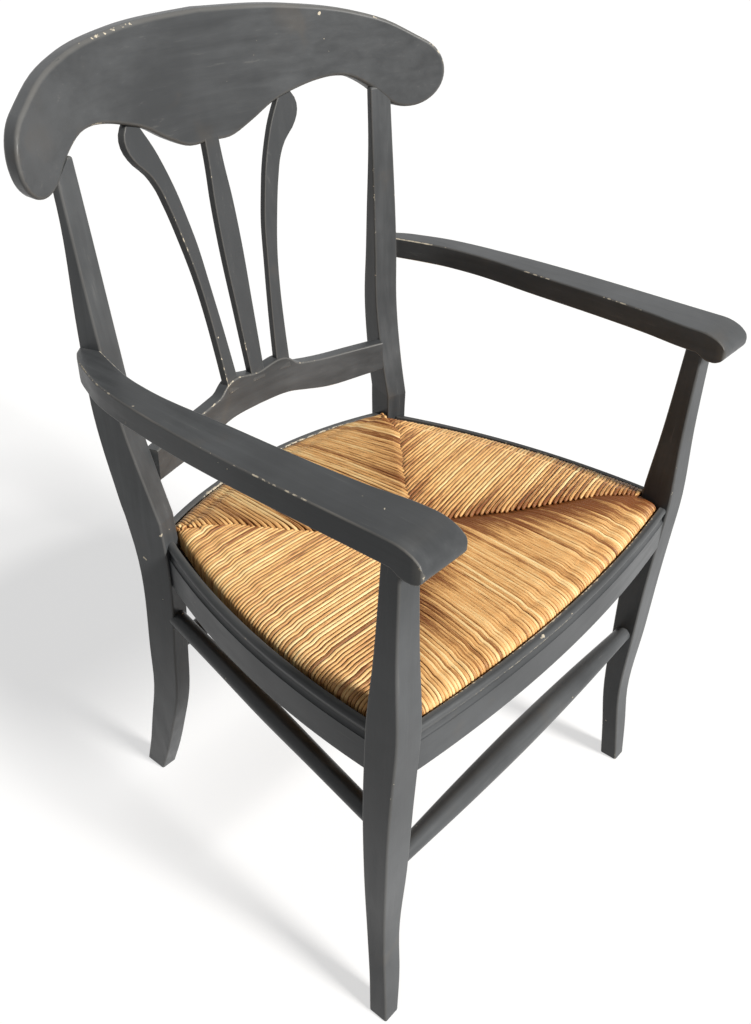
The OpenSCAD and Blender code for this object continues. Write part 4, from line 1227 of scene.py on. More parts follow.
@dataclass
class Arm:
    """Arm boards, curved in plan from the post to the front leg, with drooping noses."""

    post: RearPost
    nose_width: float = 57
    waist_width: float = 36.5
    overhang: float = 11
    post_lap: float = 8
    droop: float = 6
    corner: float = 3.5
    ease: float = 2.0
    nose_length: float = 32
    nose_drop: float = 19
    under_length: float = 14
    under_flat: float = 6
    worn: Spots = ((-287, 40, 677, 26), (-288, -185, 677, 40), (-286, -268, 668, 30))

    @property
    def nose(self) -> float:
        """Depth of the tip of the nose."""
        return CHAIR.front_y - CHAIR.arm_reach

    def plan(self) -> list[Point2]:
        """Outline of the left arm, seen from above.

        Returns:
            Corners in X and depth, in millimetres.
        """
        nose = self.nose
        outer_x = CHAIR.leg_x + self.overhang
        inner_x, waist_x = outer_x - self.nose_width, outer_x - self.waist_width
        post_front, post_back = self.post.ring(self.post.arm_z)[:2]
        inner_end, outer_end = post_front[0] - 1, post_back[0] + self.post_lap

        def at(share: float) -> float:
            """Depth at a share of the seat's depth."""
            return CHAIR.front_y + share * CHAIR.seat_depth

        inner = [(nose + self.corner, inner_x), (at(0.076), toward(inner_x, waist_x, 0.06)),
                 (at(0.185), toward(inner_x, waist_x, 0.37)), (at(0.302), toward(inner_x, waist_x, 0.56)),
                 (at(0.576), toward(inner_x, waist_x, 0.81)), (at(0.854), waist_x),
                 (at(0.943), toward(waist_x, inner_end, 0.17)), (at(1.021), toward(waist_x, inner_end, 0.51)),
                 (post_front[1] + 5, inner_end)]
        outer = [(nose + self.corner, outer_x), (at(0.768), toward(outer_x, outer_end, 0.02)),
                 (at(0.896), toward(outer_x, outer_end, 0.14)), (at(0.977), toward(outer_x, outer_end, 0.28)),
                 (at(1.052), toward(outer_x, outer_end, 0.52)), (at(1.12), toward(outer_x, outer_end, 0.8)),
                 (post_back[1] - 6, outer_end), (post_back[1] - 1, outer_end - 3),
                 (post_back[1] + 1, post_back[0] - 1)]
        line = [(smooth_at(outer, y), y) for y in reversed(steps(nose + self.corner, outer[-1][0], 60))][:-1]
        line += arc((outer_x - self.corner, nose + self.corner), self.corner, self.corner, 0, -90, 6)
        line += arc((inner_x + self.corner, nose + self.corner), self.corner, self.corner, -90, -180, 6)
        line += [(smooth_at(inner, y), y) for y in steps(nose + self.corner, inner[-1][0], 60)][1:]
        return line + [self.post.middle(self.post.arm_z)]

    def top(self, y: np.ndarray) -> np.ndarray:
        """Height of the arm's top along the arm.

        Args:
            y: the depths.

        Returns:
            The heights.
        """
        share = np.clip((self.nose + self.nose_length - y) / self.nose_length, 0, 1)
        return CHAIR.arm_top - self.nose_drop * (1 - np.sqrt(1 - share ** 2))

    def under(self, y: np.ndarray) -> np.ndarray:
        """Height of the arm's underside along the arm.

        Args:
            y: the depths.

        Returns:
            The heights.
        """
        tip = CHAIR.arm_top - self.nose_drop
        share = np.clip((self.nose + self.under_length - y) / self.under_length, 0, 1)
        drop = CHAIR.arm_under - self.droop
        rounded = tip - (tip - drop) * np.sqrt(1 - share ** 2)
        rise = np.clip((y - self.nose - self.under_length - self.under_flat)
                       / (self.nose_length - self.under_length - self.under_flat), 0, 1)
        return rounded + self.droop * rise * rise * (3 - 2 * rise)

    def shape(self, points: np.ndarray) -> np.ndarray:
        """Turns the flat blank to lie level and rounds its nose down.

        Args:
            points: points of the blank, which lies in X and Z.

        Returns:
            The points of the arm.
        """
        x, thick, plan_y = points.T
        share = thick / CHAIR.arm_thick
        low, high = self.under(plan_y), self.top(plan_y)
        return np.stack([x, plan_y, low + share * (high - low)], 1)

    def build(self, paint: bpy.types.Material) -> None:
        """Makes both arms.

        Args:
            paint: their paint.
        """
        cuts = [self.nose + 0.5 * k * k for k in range(1, 13)] + steps(self.nose + 84, CHAIR.post_y + 20, 22)
        left = saw_board("left_armrest_wood", self.plan(), CHAIR.arm_thick, self.ease, cuts, 2)
        bend_points(left, self.shape)
        finish_pair(left, paint, "armrest", right_spots=self.worn)


@dataclass
class SeatRails:
    """Seat rails, bowed outwards and rebated for the rush, and moulded along the top at the front and sides."""

    leg: FrontLeg
    front_setback: float = 4
    side_setback: float = 6
    rear_setback: float = 6
    front_bow: float = 17
    side_bow: float = 16
    rear_bow: float = 39
    bead: float = 4
    cove_drop: float = 13
    cove_depth: float = 3
    cove_reach: float = 5
    ease: float = 1.6
    lip_ease: float = 0.8
    fade: float = 3
    front_sink: float = 3
    post_sink: float = 4
    near_turn: float = 0.0035
    far_turn: float = 0.008
    smooth: float = 40.0

    def section(self, moulded: bool) -> list[Point2]:
        """Outline across a rail.

        Args:
            moulded: whether its face has a cove and a bead along the top.

        Returns:
            Corners in distance from the outer face and height, in millimetres.
        """
        top, low, thick, lip, ease = CHAIR.seat_top, CHAIR.rail_low, CHAIR.rail_thick, CHAIR.lip_width, self.ease
        foot = arc((ease, low + ease), ease, ease, -90, -180, 3)
        if moulded:
            head = (arc((0, top - self.cove_drop), self.cove_depth, self.cove_reach, -90, 50, 9)
                    + arc((self.bead, top - self.bead), self.bead, self.bead, 240, 90, 9))
            face_top = top - self.cove_drop - self.cove_reach - self.fade
        else:
            head = arc((ease, top - ease), ease, ease, 180, 90, 3)
            face_top = top - ease - self.fade
        rebate = [(lip - self.lip_ease, top), (lip, top - self.lip_ease), (lip, CHAIR.rebate_floor),
                  (thick, CHAIR.rebate_floor)]
        return [(thick, low)] + foot + [(0, low + ease + self.fade), (0, face_top)] + head + rebate

    def sweep(self, name: str, section: Sequence[Point2], centre: Point2, radius: float, start: float, end: float,
              count: int) -> bpy.types.Object:
        """Rail swept round a centre.

        Args:
            name: the piece's name.
            section: outline across the rail.
            centre: centre of the bow.
            radius: radius of the outer face.
            start: first angle, in radians.
            end: last angle, in radians.
            count: number of steps along the rail.

        Returns:
            The mesh object.
        """
        rings = [[(centre[0] + (radius - inset) * math.cos(a), centre[1] + (radius - inset) * math.sin(a), z)
                  for inset, z in section] for a in steps(start, end, count)]
        return wrap_rings(name, rings)

    def build(self, across: bpy.types.Material, deep: bpy.types.Material) -> None:
        """Makes the four rails.

        Args:
            across: paint for wood that runs from side to side.
            deep: paint for wood that runs from front to back.
        """
        moulded, plain = self.section(True), self.section(False)
        end = self.leg.at("inner", CHAIR.seat_top)
        radius = arc_radius(end, self.front_bow)
        centre = (0.0, CHAIR.front_y + self.front_setback - self.front_bow + radius)
        half = math.asin((end + self.front_sink) / radius)
        front = self.sweep("front_seat_rail_wood", moulded, centre, radius, -math.pi / 2 - half,
                           -math.pi / 2 + half, 36)
        end = CHAIR.post_x - CHAIR.post_width / 2
        radius = arc_radius(end, self.rear_bow)
        centre = (0.0, CHAIR.post_y + self.rear_setback + CHAIR.rail_thick + self.rear_bow - radius)
        half = math.asin(end / radius)
        rear = self.sweep("rear_seat_rail_wood", plain, centre, radius, math.pi / 2 - half, math.pi / 2 + half, 36)
        start = np.array([CHAIR.leg_x - self.side_setback, CHAIR.front_y + CHAIR.leg_depth])
        stop = np.array([CHAIR.post_x - self.post_sink, CHAIR.post_y])
        run = stop - start
        length = float(np.linalg.norm(run))
        normal = np.array([run[1], -run[0]]) / length
        radius = arc_radius(length / 2, self.side_bow)
        centre = (start + stop) / 2 - normal * (radius - self.side_bow)
        first = math.atan2(start[1] - centre[1], start[0] - centre[0]) - self.near_turn
        last = math.atan2(stop[1] - centre[1], stop[0] - centre[0]) + self.far_turn
        left = self.sweep("left_seat_rail_wood", moulded, (float(centre[0]), float(centre[1])), radius, first, last,
                          30)
        for obj, node in ((front, "front_seat_rail"), (rear, "rear_seat_rail")):
            finish_wood(obj, across, node, self.smooth)
        finish_pair(left, deep, "seat_rail", self.smooth)


@dataclass
class Stretchers:
    """Turned stretchers, thickest in the middle, with the front one slightly egg-shaped."""

    leg: FrontLeg
    post: RearPost
    front_z: float = 241
    side_z: float = 309
    side_rise: float = 28
    rear_z: float = 275
    thick: float = 33
    side_thick: float = 25
    end: float = 21
    front_egg: float = 0.12
    ridge: float = 35
    end_sink: float = 3
    post_sink: float = 2
    rear_sink: float = 1
    sides: int = 28

    def bar(self, name: str, start: Sequence[float], stop: Sequence[float], thick: float,
            egg: float = 0.0) -> bpy.types.Object:
        """One turned bar.

        Args:
            name: the piece's name.
            start: first end, in millimetres.
            stop: other end.
            thick: thickness at the middle.
            egg: how much the section sharpens to a ridge, from 0 to 1.

        Returns:
            The mesh object.
        """
        a, b = np.array(start, float), np.array(stop, float)
        length = float(np.linalg.norm(b - a))
        along = (b - a) / length
        side = np.cross(along, (0.0, 0.0, 1.0))
        side /= np.linalg.norm(side)
        up = np.cross(side, along)
        shoulder = 0.42 * thick + 0.04 * self.end
        line = [(0, self.end / 2), (length / 4, shoulder), (length / 2, thick / 2), (3 * length / 4, shoulder),
                (length, self.end / 2)]
        turns = [2 * math.pi * k / self.sides for k in range(self.sides)]
        rings = []
        for s in steps(-self.end_sink, length + self.end_sink, 40):
            radius = smooth_at(line, clamp(s, 0.0, length))
            rings.append([a + along * s + (side * math.cos(t) + up * math.sin(t)) * radius
                          * (1 - egg * (0.5 - 0.5 * math.cos(2 * (t - math.radians(self.ridge)))) ** 3)
                          for t in turns])
        return wrap_rings(name, rings)

    def build(self, across: bpy.types.Material, deep: bpy.types.Material) -> None:
        """Makes the four stretchers.

        Args:
            across: paint for wood that runs from side to side.
            deep: paint for wood that runs from front to back.
        """
        leg, post = self.leg, self.post
        x = leg.at("inner", self.front_z)
        y = leg.at("front", self.front_z) + leg.at("depth", self.front_z) / 2
        front = self.bar("front_stretcher_wood", (-x, y, self.front_z), (x, y, self.front_z), self.thick,
                         self.front_egg)
        rear_z = self.side_z + self.side_rise
        left = self.bar("left_side_stretcher_wood",
                        ((leg.at("inner", self.side_z) + CHAIR.leg_x) / 2,
                         leg.at("front", self.side_z) + leg.at("depth", self.side_z), self.side_z),
                        (post.middle(rear_z)[0], post.front(rear_z) + self.post_sink, rear_z), self.side_thick)
        finish_pair(left, deep, "side_stretcher")
        x, y = post.middle(self.rear_z)
        x -= CHAIR.post_width / 2 - self.rear_sink
        rear = self.bar("rear_stretcher_wood", (-x, y, self.rear_z), (x, y, self.rear_z), self.thick)
        for obj, node in ((front, "front_stretcher"), (rear, "rear_stretcher")):
            finish_wood(obj, across, node)


@dataclass(frozen=True)
class Strand:
    """Way of one strand of rush: where it rolls over the edge and where it dives into the seam."""

    edge: Point2
    seam: Point2


@dataclass(frozen=True)
class StrandEnds:
    """Upper ends of a field's strands: how far past the seam, how deep and over what reach they dive, and how much
    painted shade darkens them there.
    """

    over: float
    depth: float
    reach: float
    shade: float


@dataclass
class FieldMesh:
    """Points, faces, map and tones of the strands of one field."""

    sides: int
    verts: list[tuple[float, ...]] = field(default_factory=list)
    faces: list[tuple[int, ...]] = field(default_factory=list)
    uvs: list[Point2] = field(default_factory=list)
    tones: list[float] = field(default_factory=list)
    map_scale: float = 20

    def add(self, rings: Sequence[Sequence[np.ndarray]], length: np.ndarray, offset: int, tones: np.ndarray) -> None:
        """Adds one strand, closed at both ends.

        Args:
            rings: rings of points along the strand, in metres.
            length: distance of each ring along it, in millimetres.
            offset: shift of its map, so that strands differ.
            tones: tone of each ring.
        """
        count, sides, rows = len(self.verts), self.sides, len(rings)
        self.verts.extend(tuple(point) for ring in rings for point in ring)
        self.tones.extend(np.repeat(tones, sides).tolist())
        for i in range(rows - 1):
            low, high = count + i * sides, count + (i + 1) * sides
            v0, v1 = (length[k] * MM * self.map_scale + offset for k in (i, i + 1))
            for k in range(sides):
                j = (k + 1) % sides
                self.faces.append((low + k, low + j, high + j, high + k))
                u0, u1 = k / sides, (k + 1) / sides
                self.uvs.extend([(u0 + offset, v0), (u1 + offset, v0), (u1 + offset, v1), (u0 + offset, v1)])
        last = count + (rows - 1) * sides
        self.faces.append(tuple(range(count + sides - 1, count - 1, -1)))
        self.faces.append(tuple(range(last, last + sides)))
        self.uvs.extend([(offset, offset)] * (2 * sides))

    def make(self, name: str) -> bpy.types.Object:
        """Makes the mesh.

        Args:
            name: the piece's name.

        Returns:
            The mesh object, with the UV map strand and the attribute tone.
        """
        mesh = bpy.data.meshes.new(name)
        mesh.from_pydata(self.verts, [], self.faces)
        layer = mesh.uv_layers.new(name="strand")
        layer.data.foreach_set("uv", np.array(self.uvs, np.float32).ravel())
        mesh.attributes.new("tone", "FLOAT", "POINT").data.foreach_set("value", np.array(self.tones, np.float32))
        obj = bpy.data.objects.new(name, mesh)
        bpy.context.collection.objects.link(obj)
        with edit_all(obj):
            point_outwards()
        return obj


@dataclass
class RushSeat:
    """Woven rush seat: four fields of strands, each square to its own edge, that meet in seams.

    The edges are arcs. front_arc and rear_arc hold the depth of the centre and the radius, and side_arc holds the
    centre in X and Y and the radius. tip_rings says how far before its upper end a strand has its last rings, and
    end_taper how thick the last two are.
    """

    low: float = 420
    edge_z: float = 455
    crown_z: float = 468
    roll: float = 12
    pitch: float = 4.5
    front_pitch: float = 4.4
    fullness: float = 0.505
    sides: int = 8
    centre: Point2 = (-8, -58)
    seed: int = 11
    corner_front: Point2 = (234, -209)
    corner_rear: Point2 = (181, 149)
    side_end: float = 147
    front_arc: Point2 = (1403.4, 1656.1)
    rear_arc: Point2 = (-320.3, 510.6)
    side_arc: Point3 = (-666.2, -216.2, 923.2)
    front_fan: float = 0.0010
    rear_fan: float = 0.0012
    left_lean: float = 0.2
    right_lean: float = 0.1
    first_guess: float = 60
    side_guess: float = 0.6
    side_rounds: int = 40
    crown_reach: float = 215
    flat_step: float = 8
    least_flat: float = 6
    tip_rings: Point2 = (3.2, 1.4)
    end_taper: Point2 = (0.86, 0.45)
    sway: float = 0.22
    lift: float = 0.15
    size_spread: float = 0.035
    size_wander: float = 0.03
    widening: float = 1.04
    ply: float = 0.05
    lay: float = 17.0
    tone_spread: float = 0.22
    # Length over which the painted shade near the seam fades in, and how much more of it the left side gets.
    seam_fade: float = 75
    left_shade: float = 0.6
    packing_inset: float = 3.2

    def front_edge(self, x: float) -> float:
        """Depth of the front edge of the rush."""
        return self.front_arc[0] - math.sqrt(self.front_arc[1] ** 2 - x ** 2)

    def side_edge(self, y: float) -> float:
        """Distance of the side edge of the rush from the middle."""
        return self.side_arc[0] + math.sqrt(self.side_arc[2] ** 2 - (y - self.side_arc[1]) ** 2)

    def rear_edge(self, x: float) -> float:
        """Depth of the rear edge of the rush."""
        return self.rear_arc[0] + math.sqrt(self.rear_arc[1] ** 2 - x ** 2)

    def seams(self) -> dict[str, list[Point2]]:
        """The four seams, each from its corner to the centre of the seat.

        Returns:
            Points in X and Y, in millimetres, by the seam's name.
        """
        cx, cy = self.corner_front
        rx, ry = self.corner_rear
        return {
            "front_left": [(cx, cy), (196, -177), (159, -159), (122, -140), (88, -121), (58, -100), (39, -86),
                           self.centre],
            "front_right": [(-cx, cy), (-196, -176), (-160, -156), (-122, -138), (-88, -120), (-58, -100),
                            (-36, -84), self.centre],
            "rear_left": [(rx, ry), (148, 94), (119, 68), (84, 34), (50, 3), (20, -28), self.centre],
            "rear_right": [(-rx, ry + 1), (-158, 118), (-139, 96), (-128, 72), (-114, 48), (-98, 20), (-80, -6),
                           (-44, -34), self.centre],
        }

    @staticmethod
    def follow(path: Sequence[Point2], key: int, value: float) -> float:
        """Other coordinate of a path where its coordinate key has a value."""
        points = sorted(path, key=lambda p: p[key])
        return float(np.interp(value, [p[key] for p in points], [p[1 - key] for p in points]))

    def meet(self, path: Sequence[Point2], key: int, start: float, across: Callable[[float], float],
             rounds: int = 30) -> tuple[float, float]:
        """Finds where a strand that fans out meets its seam.

        Args:
            path: the seam.
            key: coordinate across the strand, 0 for X or 1 for Y.
            start: first guess of the place along the strand.
            across: gives the place across at a place along.
            rounds: number of guesses.

        Returns:
            The places along and across.
        """
        along = start
        for _ in range(rounds):
            along = 0.5 * along + 0.5 * self.follow(path, key, across(along))
        return along, across(along)

    def front_field(self) -> list[Strand]:
        """Strands that roll over the front edge.

        Returns:
            The strands, from right to left.
        """
        seams = self.seams()
        path = seams["front_right"] + seams["front_left"][:-1]
        half = self.corner_front[0] - 1
        strands = []
        for x in steps(-half, half, round(2 * half / self.front_pitch)):
            y0 = self.front_edge(x)
            y, x1 = self.meet(path, 0, y0 + self.first_guess, lambda y: x - self.front_fan * x * (y - y0))
            strands.append(Strand((x, y0), (x1, y)))
        return strands

    def rear_field(self) -> list[Strand]:
        """Strands that roll over the rear edge.

        Returns:
            The strands, from right to left.
        """
        seams = self.seams()
        path = seams["rear_right"] + seams["rear_left"][:-1]
        half = self.corner_rear[0] - 1
        strands = []
        for x in steps(-half, half, round(2 * half / self.pitch)):
            y0 = self.rear_edge(x)
            y, x1 = self.meet(path, 0, y0 - self.first_guess,
                              lambda y: clamp(x + self.rear_fan * x * (y0 - y), -half, half))
            strands.append(Strand((x, y0), (x1, y)))
        return strands

    def side_field(self, side: Side) -> list[Strand]:
        """Strands that roll over one side edge.

        Args:
            side: the side.

        Returns:
            The strands, from front to back.
        """
        seams = self.seams()
        path = seams[f"front_{side.word}"] + seams[f"rear_{side.word}"][:-1]
        lean = self.left_lean if side is Side.LEFT else self.right_lean
        first, last = self.corner_front[1] + 1, self.side_end
        strands = []
        for y0 in steps(first, last, round((last - first) / self.pitch)):
            x0 = side.value * self.side_edge(y0)
            x, y = self.meet(path, 1, x0 * self.side_guess, lambda x: clamp(y0 - lean * abs(x0 - x), first, last),
                             self.side_rounds)
            strands.append(Strand((x0, y0), (x, y)))
        return strands

    def profile(self, span: float, r: float, over: float, dive: float, reach: float) -> tuple[np.ndarray, np.ndarray]:
        """Way of a strand in its own upright plane.

        Args:
            span: distance from the edge to the seam.
            r: radius of the strand.
            over: how far its upper end runs past the seam.
            dive: how deep its upper end dives.
            reach: length over which it dives.

        Returns:
            Distances from the edge and heights, from the lower seam round the roll to the upper seam.
        """
        low, edge, crown, roll = self.low + r, self.edge_z - r, self.crown_z - r, self.roll
        turn = roll - r
        wide = 2 * roll - r
        end = span + over
        begin = min(2 * roll, end - self.least_flat)
        way = [(d, low) for d in np.linspace(max(span - 2, roll + 2), roll, 7)]
        way += [(roll - turn * math.sin(a), low + turn - turn * math.cos(a))
                for a in np.linspace(0, math.pi / 2, 5)[1:]]
        way += [(r, z) for z in np.linspace(low + roll - r, edge - roll + r, 3)[1:]]
        over_roll = [(r + wide - wide * math.cos(a), edge - turn + turn * math.sin(a))
                     for a in np.linspace(0, math.pi / 2, 8)[1:]]
        way += [p for p in over_roll if p[0] < end - 2]
        count = max(int((end - begin) / self.flat_step), 4)
        flat = [*np.linspace(begin, end - self.tip_rings[0], count)[1:], end - self.tip_rings[1], end]
        top = [(d, edge + (crown - edge) * (1 - (1 - min(d / self.crown_reach, 1)) ** 2)) for d in flat]
        rolled = way[-1][0]
        way += [p for p in top if p[0] > rolled + 0.3]
        dist, height = np.array(way).T
        upper = height > (self.low + self.edge_z) / 2
        near = np.clip((dist - (end - reach)) / reach, 0, 1)
        return dist, height - np.where(upper, dive * near ** 2, 0)

    @staticmethod
    def wander(dice: np.random.Generator, count: int, knots: int, spread: float) -> np.ndarray:
        """Random numbers that change smoothly along a strand.

        Args:
            dice: the source of chance.
            count: how many numbers.
            knots: how many of them are drawn.
            spread: their spread about 0.

        Returns:
            The numbers.
        """
        return np.interp(np.arange(count), np.linspace(0, count, knots), dice.normal(0, spread, knots))

    def lay_strand(self, field_mesh: FieldMesh, strand: Strand, size: float, ends: StrandEnds,
                   dice: np.random.Generator) -> None:
        """Adds one twisted strand to a field.

        Args:
            field_mesh: the field's mesh.
            strand: the strand's way.
            size: its radius in millimetres.
            ends: how its upper end runs.
            dice: the source of chance.
        """
        edge, seam = np.array(strand.edge), np.array(strand.seam)
        span = float(np.linalg.norm(seam - edge))
        inward = (seam - edge) / max(span, 1e-6)
        side = np.array([-inward[1], inward[0], 0.0])
        dist, height = self.profile(span, size, ends.over + dice.uniform(-1, 1), ends.depth + dice.uniform(-0.8, 0.8),
                                    ends.reach)
        count = len(dist)
        points = np.stack([edge[0] + inward[0] * dist, edge[1] + inward[1] * dist, height], 1)
        sway, lift = self.wander(dice, count, 6, self.sway), self.wander(dice, count, 7, self.lift)
        points = points + side * sway[:, None]
        points[:, 2] += lift
        ahead = np.gradient(points, axis=0)
        ahead /= np.linalg.norm(ahead, axis=1)[:, None]
        out = np.cross(ahead, side)
        out /= np.linalg.norm(out, axis=1)[:, None]
        length = np.concatenate([[0], np.cumsum(np.linalg.norm(np.diff(points, axis=0), axis=1))])
        radii = size * (1 + dice.normal(0, self.size_spread)) * (1 + self.wander(dice, count, 9, self.size_wander))
        radii[-2:] *= self.end_taper
        phase = dice.uniform(0, 6.28)
        offset = int(dice.integers(0, 40))
        rings = []
        for i in range(count):
            twist = phase + length[i] / self.lay
            ring = []
            for k in range(self.sides):
                angle = 2 * math.pi * k / self.sides
                ply = 1 + self.ply * math.cos(2 * (angle - twist))
                ring.append((points[i] + (side * math.cos(angle) * self.widening + out[i] * math.sin(angle))
                             * radii[i] * ply) * MM)
            rings.append(ring)
        tone = float(np.clip(dice.normal(0.5, self.tone_spread), 0, 1))
        # Painted shade: the tone is lowered towards the seam, where the strands dive into the hollow, and more so on
        # the chair's left side.
        near_seam = np.clip(1 - (length[-1] - length) / self.seam_fade, 0, 1)
        shade = ends.shade * (1 + self.left_shade * edge[0] / self.corner_front[0])
        field_mesh.add(rings, length, offset, tone - shade * near_seam)

    def weave(self, name: str, strands: Sequence[Strand], pitch: float, ends: StrandEnds,
              seed: int) -> bpy.types.Object:
        """One field of strands as a single mesh.

        Args:
            name: the piece's name.
            strands: the ways of the strands.
            pitch: distance from strand to strand.
            ends: how their upper ends run.
            seed: seed of the small differences between strands.

        Returns:
            The mesh object.
        """
        dice = np.random.default_rng(seed)
        field_mesh = FieldMesh(self.sides)
        for strand in strands:
            self.lay_strand(field_mesh, strand, pitch * self.fullness, ends, dice)
        return field_mesh.make(name)

    def core(self) -> bpy.types.Object:
        """Packed body of the seat under the strands, shrunk from the outer skin of its solid.

        Returns:
            The mesh object.
        """
        fresh_start()
        bpy.ops.mesh.primitive_cube_add()
        body = bpy.context.object
        body.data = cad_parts["rush_seat"].data.copy()
        with edit_all(body):
            bpy.ops.mesh.remove_doubles(threshold=BENT_WELD)
            bpy.ops.mesh.separate(type="LOOSE")
        *inner_shells, body = sorted(bpy.context.selected_objects, key=lambda o: o.dimensions.length)
        for shell in inner_shells:
            bpy.data.objects.remove(shell, do_unlink=True)
        body.name = body.data.name = "rush_packing"
        with edit_all(body):
            bpy.ops.transform.shrink_fatten(value=-self.packing_inset * MM)
            bpy.ops.mesh.normals_make_consistent(inside=False)
        return body

    def build(self, straw: bpy.types.Material, packing: bpy.types.Material) -> None:
        """Makes the four fields and the packing under them.

        Args:
            straw: material of the strands.
            packing: material of the packing.
        """
        # shade is the painted shade that darkens each field's strands near the seam.
        front_ends = StrandEnds(over=3.0, depth=6.5, reach=46.0, shade=0.9)
        rear_ends = StrandEnds(over=2.0, depth=3.5, reach=14.0, shade=0.3)
        side_ends = StrandEnds(over=2.5, depth=3.0, reach=9.0, shade=0.3)
        fields = {
            "rush_front_field": (self.front_field(), self.front_pitch, front_ends),
            "rush_rear_field": (self.rear_field(), self.pitch, rear_ends),
            "rush_left_field": (self.side_field(Side.LEFT), self.pitch, side_ends),
            "rush_right_field": (self.side_field(Side.RIGHT), self.pitch, side_ends),
        }
        for number, (name, (strands, pitch, ends)) in enumerate(fields.items()):
            obj = self.weave(name, strands, pitch, ends, self.seed + number)
            finish_piece(obj, straw, ["rush_seat"], smooth=80.0)
        finish_piece(self.core(), packing, ["rush_seat", "rush_stuffing"])


def seen_directly(sheet: Sheet) -> bpy.types.NodeSocket:
    """Tells what is looked at from what lights things.

    Args:
        sheet: the sheet of the material or the world.

    Returns:
        1 for rays from the camera, mirrors and glass, and 0 for light that falls on things.
    """
    path = sheet.add("ShaderNodeLightPath").outputs
    mirrored = sheet.math("MAXIMUM", path["Is Glossy Ray"], path["Is Transmission Ray"])
    return sheet.math("MAXIMUM", path["Is Camera Ray"], mirrored)


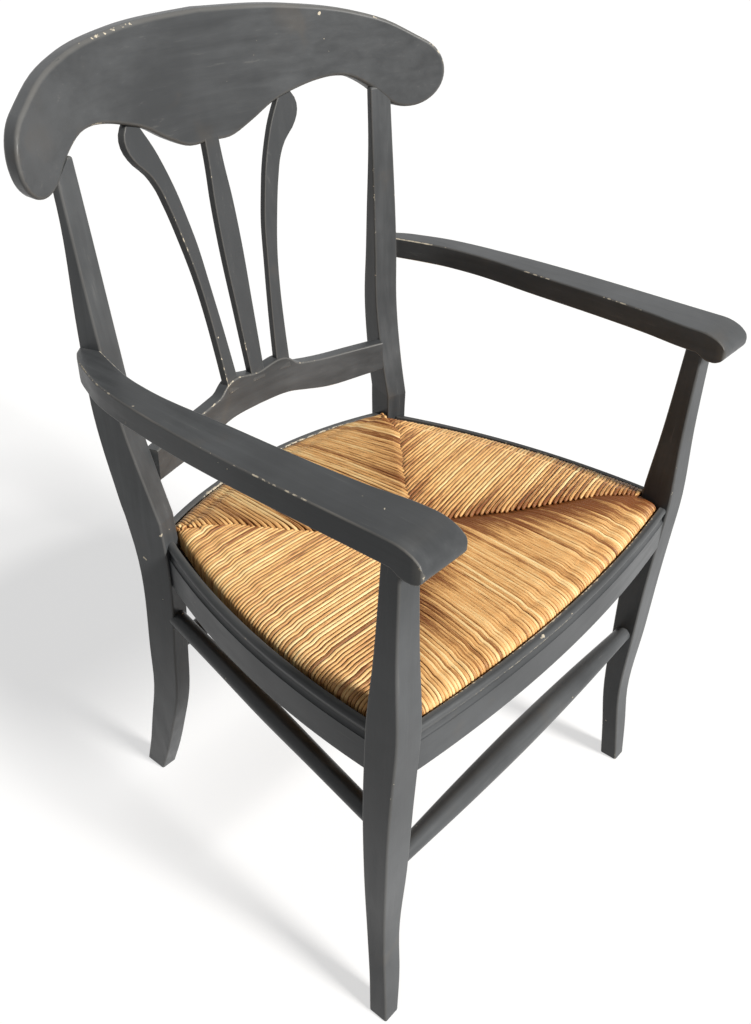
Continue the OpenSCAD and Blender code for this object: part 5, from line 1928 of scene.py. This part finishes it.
@dataclass
class Studio:
    """Pale floor, even light, one soft key light and the camera."""

    target: Point3 = (-0.12489, -0.1002, 0.50592)
    azimuth: float = -50.81963
    elevation: float = 36.30642
    roll: float = 1.69620
    distance: float = 1.00421
    focal: float = 996.588
    middle: Point2 = (378.092, 553.954)
    image: tuple[int, int] = (751, 1024)
    sensor: float = 36.0
    clip: Point2 = (0.01, 50.0)
    ambient: float = 0.12
    floor_size: float = 30.0
    floor_shade: float = 0.42
    floor_glow: float = 0.63
    key_source: Point3 = (0.05, -0.84, 0.54)
    key_angle: float = 12.0
    key_power: float = 4.8
    key_tint: Point3 = (1.0, 0.98, 0.95)

    def camera(self) -> None:
        """Stands the camera where the photographer's was."""
        a, e, r = (math.radians(v) for v in (self.azimuth, self.elevation, self.roll))
        back = Vector((math.sin(a) * math.cos(e), -math.cos(a) * math.cos(e), math.sin(e)))
        right = Vector((0.0, 0.0, 1.0)).cross(back).normalized()
        up = back.cross(right)
        turned_right = math.cos(r) * right + math.sin(r) * up
        turned_up = -math.sin(r) * right + math.cos(r) * up
        data = bpy.data.cameras.new("camera")
        camera = bpy.data.objects.new("camera", data)
        bpy.context.collection.objects.link(camera)
        place = Matrix((turned_right, turned_up, back)).transposed().to_4x4()
        place.translation = Vector(self.target) + back * self.distance
        camera.matrix_world = place
        wide, tall = self.image
        data.sensor_width = self.sensor
        data.lens = self.focal / tall * self.sensor
        data.shift_x = (wide / 2 - self.middle[0]) / tall
        data.shift_y = (self.middle[1] - tall / 2) / tall
        data.clip_start, data.clip_end = self.clip
        bpy.context.scene.camera = camera

    def key_light(self) -> None:
        """Hangs the key light, a sun whose wide source softens the shadows."""
        data = bpy.data.lights.new("key", "SUN")
        data.energy, data.angle, data.color = self.key_power, math.radians(self.key_angle), self.key_tint
        lamp = bpy.data.objects.new("key", data)
        bpy.context.collection.objects.link(lamp)
        lamp.rotation_mode = "QUATERNION"
        lamp.rotation_quaternion = Vector(self.key_source).to_track_quat("Z", "Y")

    def floor(self) -> None:
        """Lays the pale floor, which glows only where it is looked at."""
        fresh_start()
        bpy.ops.mesh.primitive_plane_add(size=self.floor_size, location=(0.0, 0.0, 0.0))
        ground = bpy.context.object
        ground.name = ground.data.name = "studio_floor"
        material, sheet, shader = new_material("studio_floor")
        sheet.feed(shader, {"Base Color": (self.floor_shade,) * 3 + (1.0,), "Roughness": 0.9,
                            "Specular IOR Level": 0.1})
        strength = sheet.math("MULTIPLY", seen_directly(sheet), self.floor_glow)
        glow = sheet.add("ShaderNodeEmission", {"Strength": strength})
        total = sheet.add("ShaderNodeAddShader", {0: shader.outputs[0], 1: glow.outputs[0]})
        output = next(n for n in sheet.tree.nodes if n.type == "OUTPUT_MATERIAL")
        sheet.feed(output, {0: total.outputs[0]})
        ground.data.materials.append(material)

    def world(self) -> None:
        """Fills the room with even light, and shows it as white."""
        world = bpy.data.worlds.new("studio")
        bpy.context.scene.world = world
        world.use_nodes = True
        sheet = Sheet(world.node_tree)
        strength = sheet.add("ShaderNodeMapRange", {"Value": seen_directly(sheet), "To Min": self.ambient}).outputs[0]
        sheet.feed(world.node_tree.nodes["Background"], {"Color": (1.0, 1.0, 1.0, 1.0), "Strength": strength})

    def build(self) -> None:
        """Sets up the whole studio."""
        self.floor()
        self.world()
        self.key_light()
        self.camera()
        bpy.context.scene.view_settings.view_transform = "Standard"


def dress_hidden_nodes(wood: BareWood, steel: ScrewSteel) -> None:
    """Gives the solids that stay as they are their materials.

    Args:
        wood: the bare wood of blocks and bars.
        steel: the steel of the screws.
    """
    across, deep = wood.build(Grain.ACROSS), wood.build(Grain.DEEP)
    finishes = {"corner_block_screws": steel.build()}
    finishes |= {f"{name}_corner_block": across for name in ("front_left", "front_right", "rear_left", "rear_right")}
    finishes |= {f"seat_frame_{name}_bar": across for name in ("front", "rear")}
    finishes |= {f"seat_frame_{name}_bar": deep for name in ("left", "right")}
    for name, material in finishes.items():
        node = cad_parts[name]
        node.data.materials.clear()
        node.data.materials.append(material)
        LOG.info("%s: shown as its solid", name)


def main() -> None:
    """Builds the chair piece by piece, then the studio round it."""
    logging.basicConfig(level=logging.INFO, format="%(message)s")
    chipped, streaks = chipped_edge_group(), streak_group()
    paint = CharcoalPaint(chipped, streaks)
    upright, across, deep = (paint.build(grain, Wear.HEAVY) for grain in (Grain.UP, Grain.ACROSS, Grain.DEEP))
    leg, post = FrontLeg(), RearPost()
    leg.build(upright)
    back = Back(post)
    post.build(upright, back.crest_outline())
    back.build_rails(paint.build(Grain.ACROSS, Wear.LIGHT))
    # Painted shade: the splats get a copy of the paint with a darker light colour, standing for the lesser light that
    # reaches them.
    shaded_splat_paint = CharcoalPaint(chipped, streaks, light=srgb(0.262, 0.268, 0.274))
    back.build_splats(shaded_splat_paint.build(Grain.UP, Wear.LIGHT))
    Arm(post).build(deep)
    SeatRails(leg).build(across, deep)
    Stretchers(leg, post).build(across, deep)
    rush = TwistedRush()
    # The packing's straw is darkened by painted shade, standing for the shade down in the gaps between the strands.
    RushSeat().build(rush.build("rush_strands", 0.0), rush.build("rush_packing", 0.75))
    dress_hidden_nodes(BareWood(streaks), ScrewSteel())
    Studio().build()


if __name__ == "__main__":
    main()
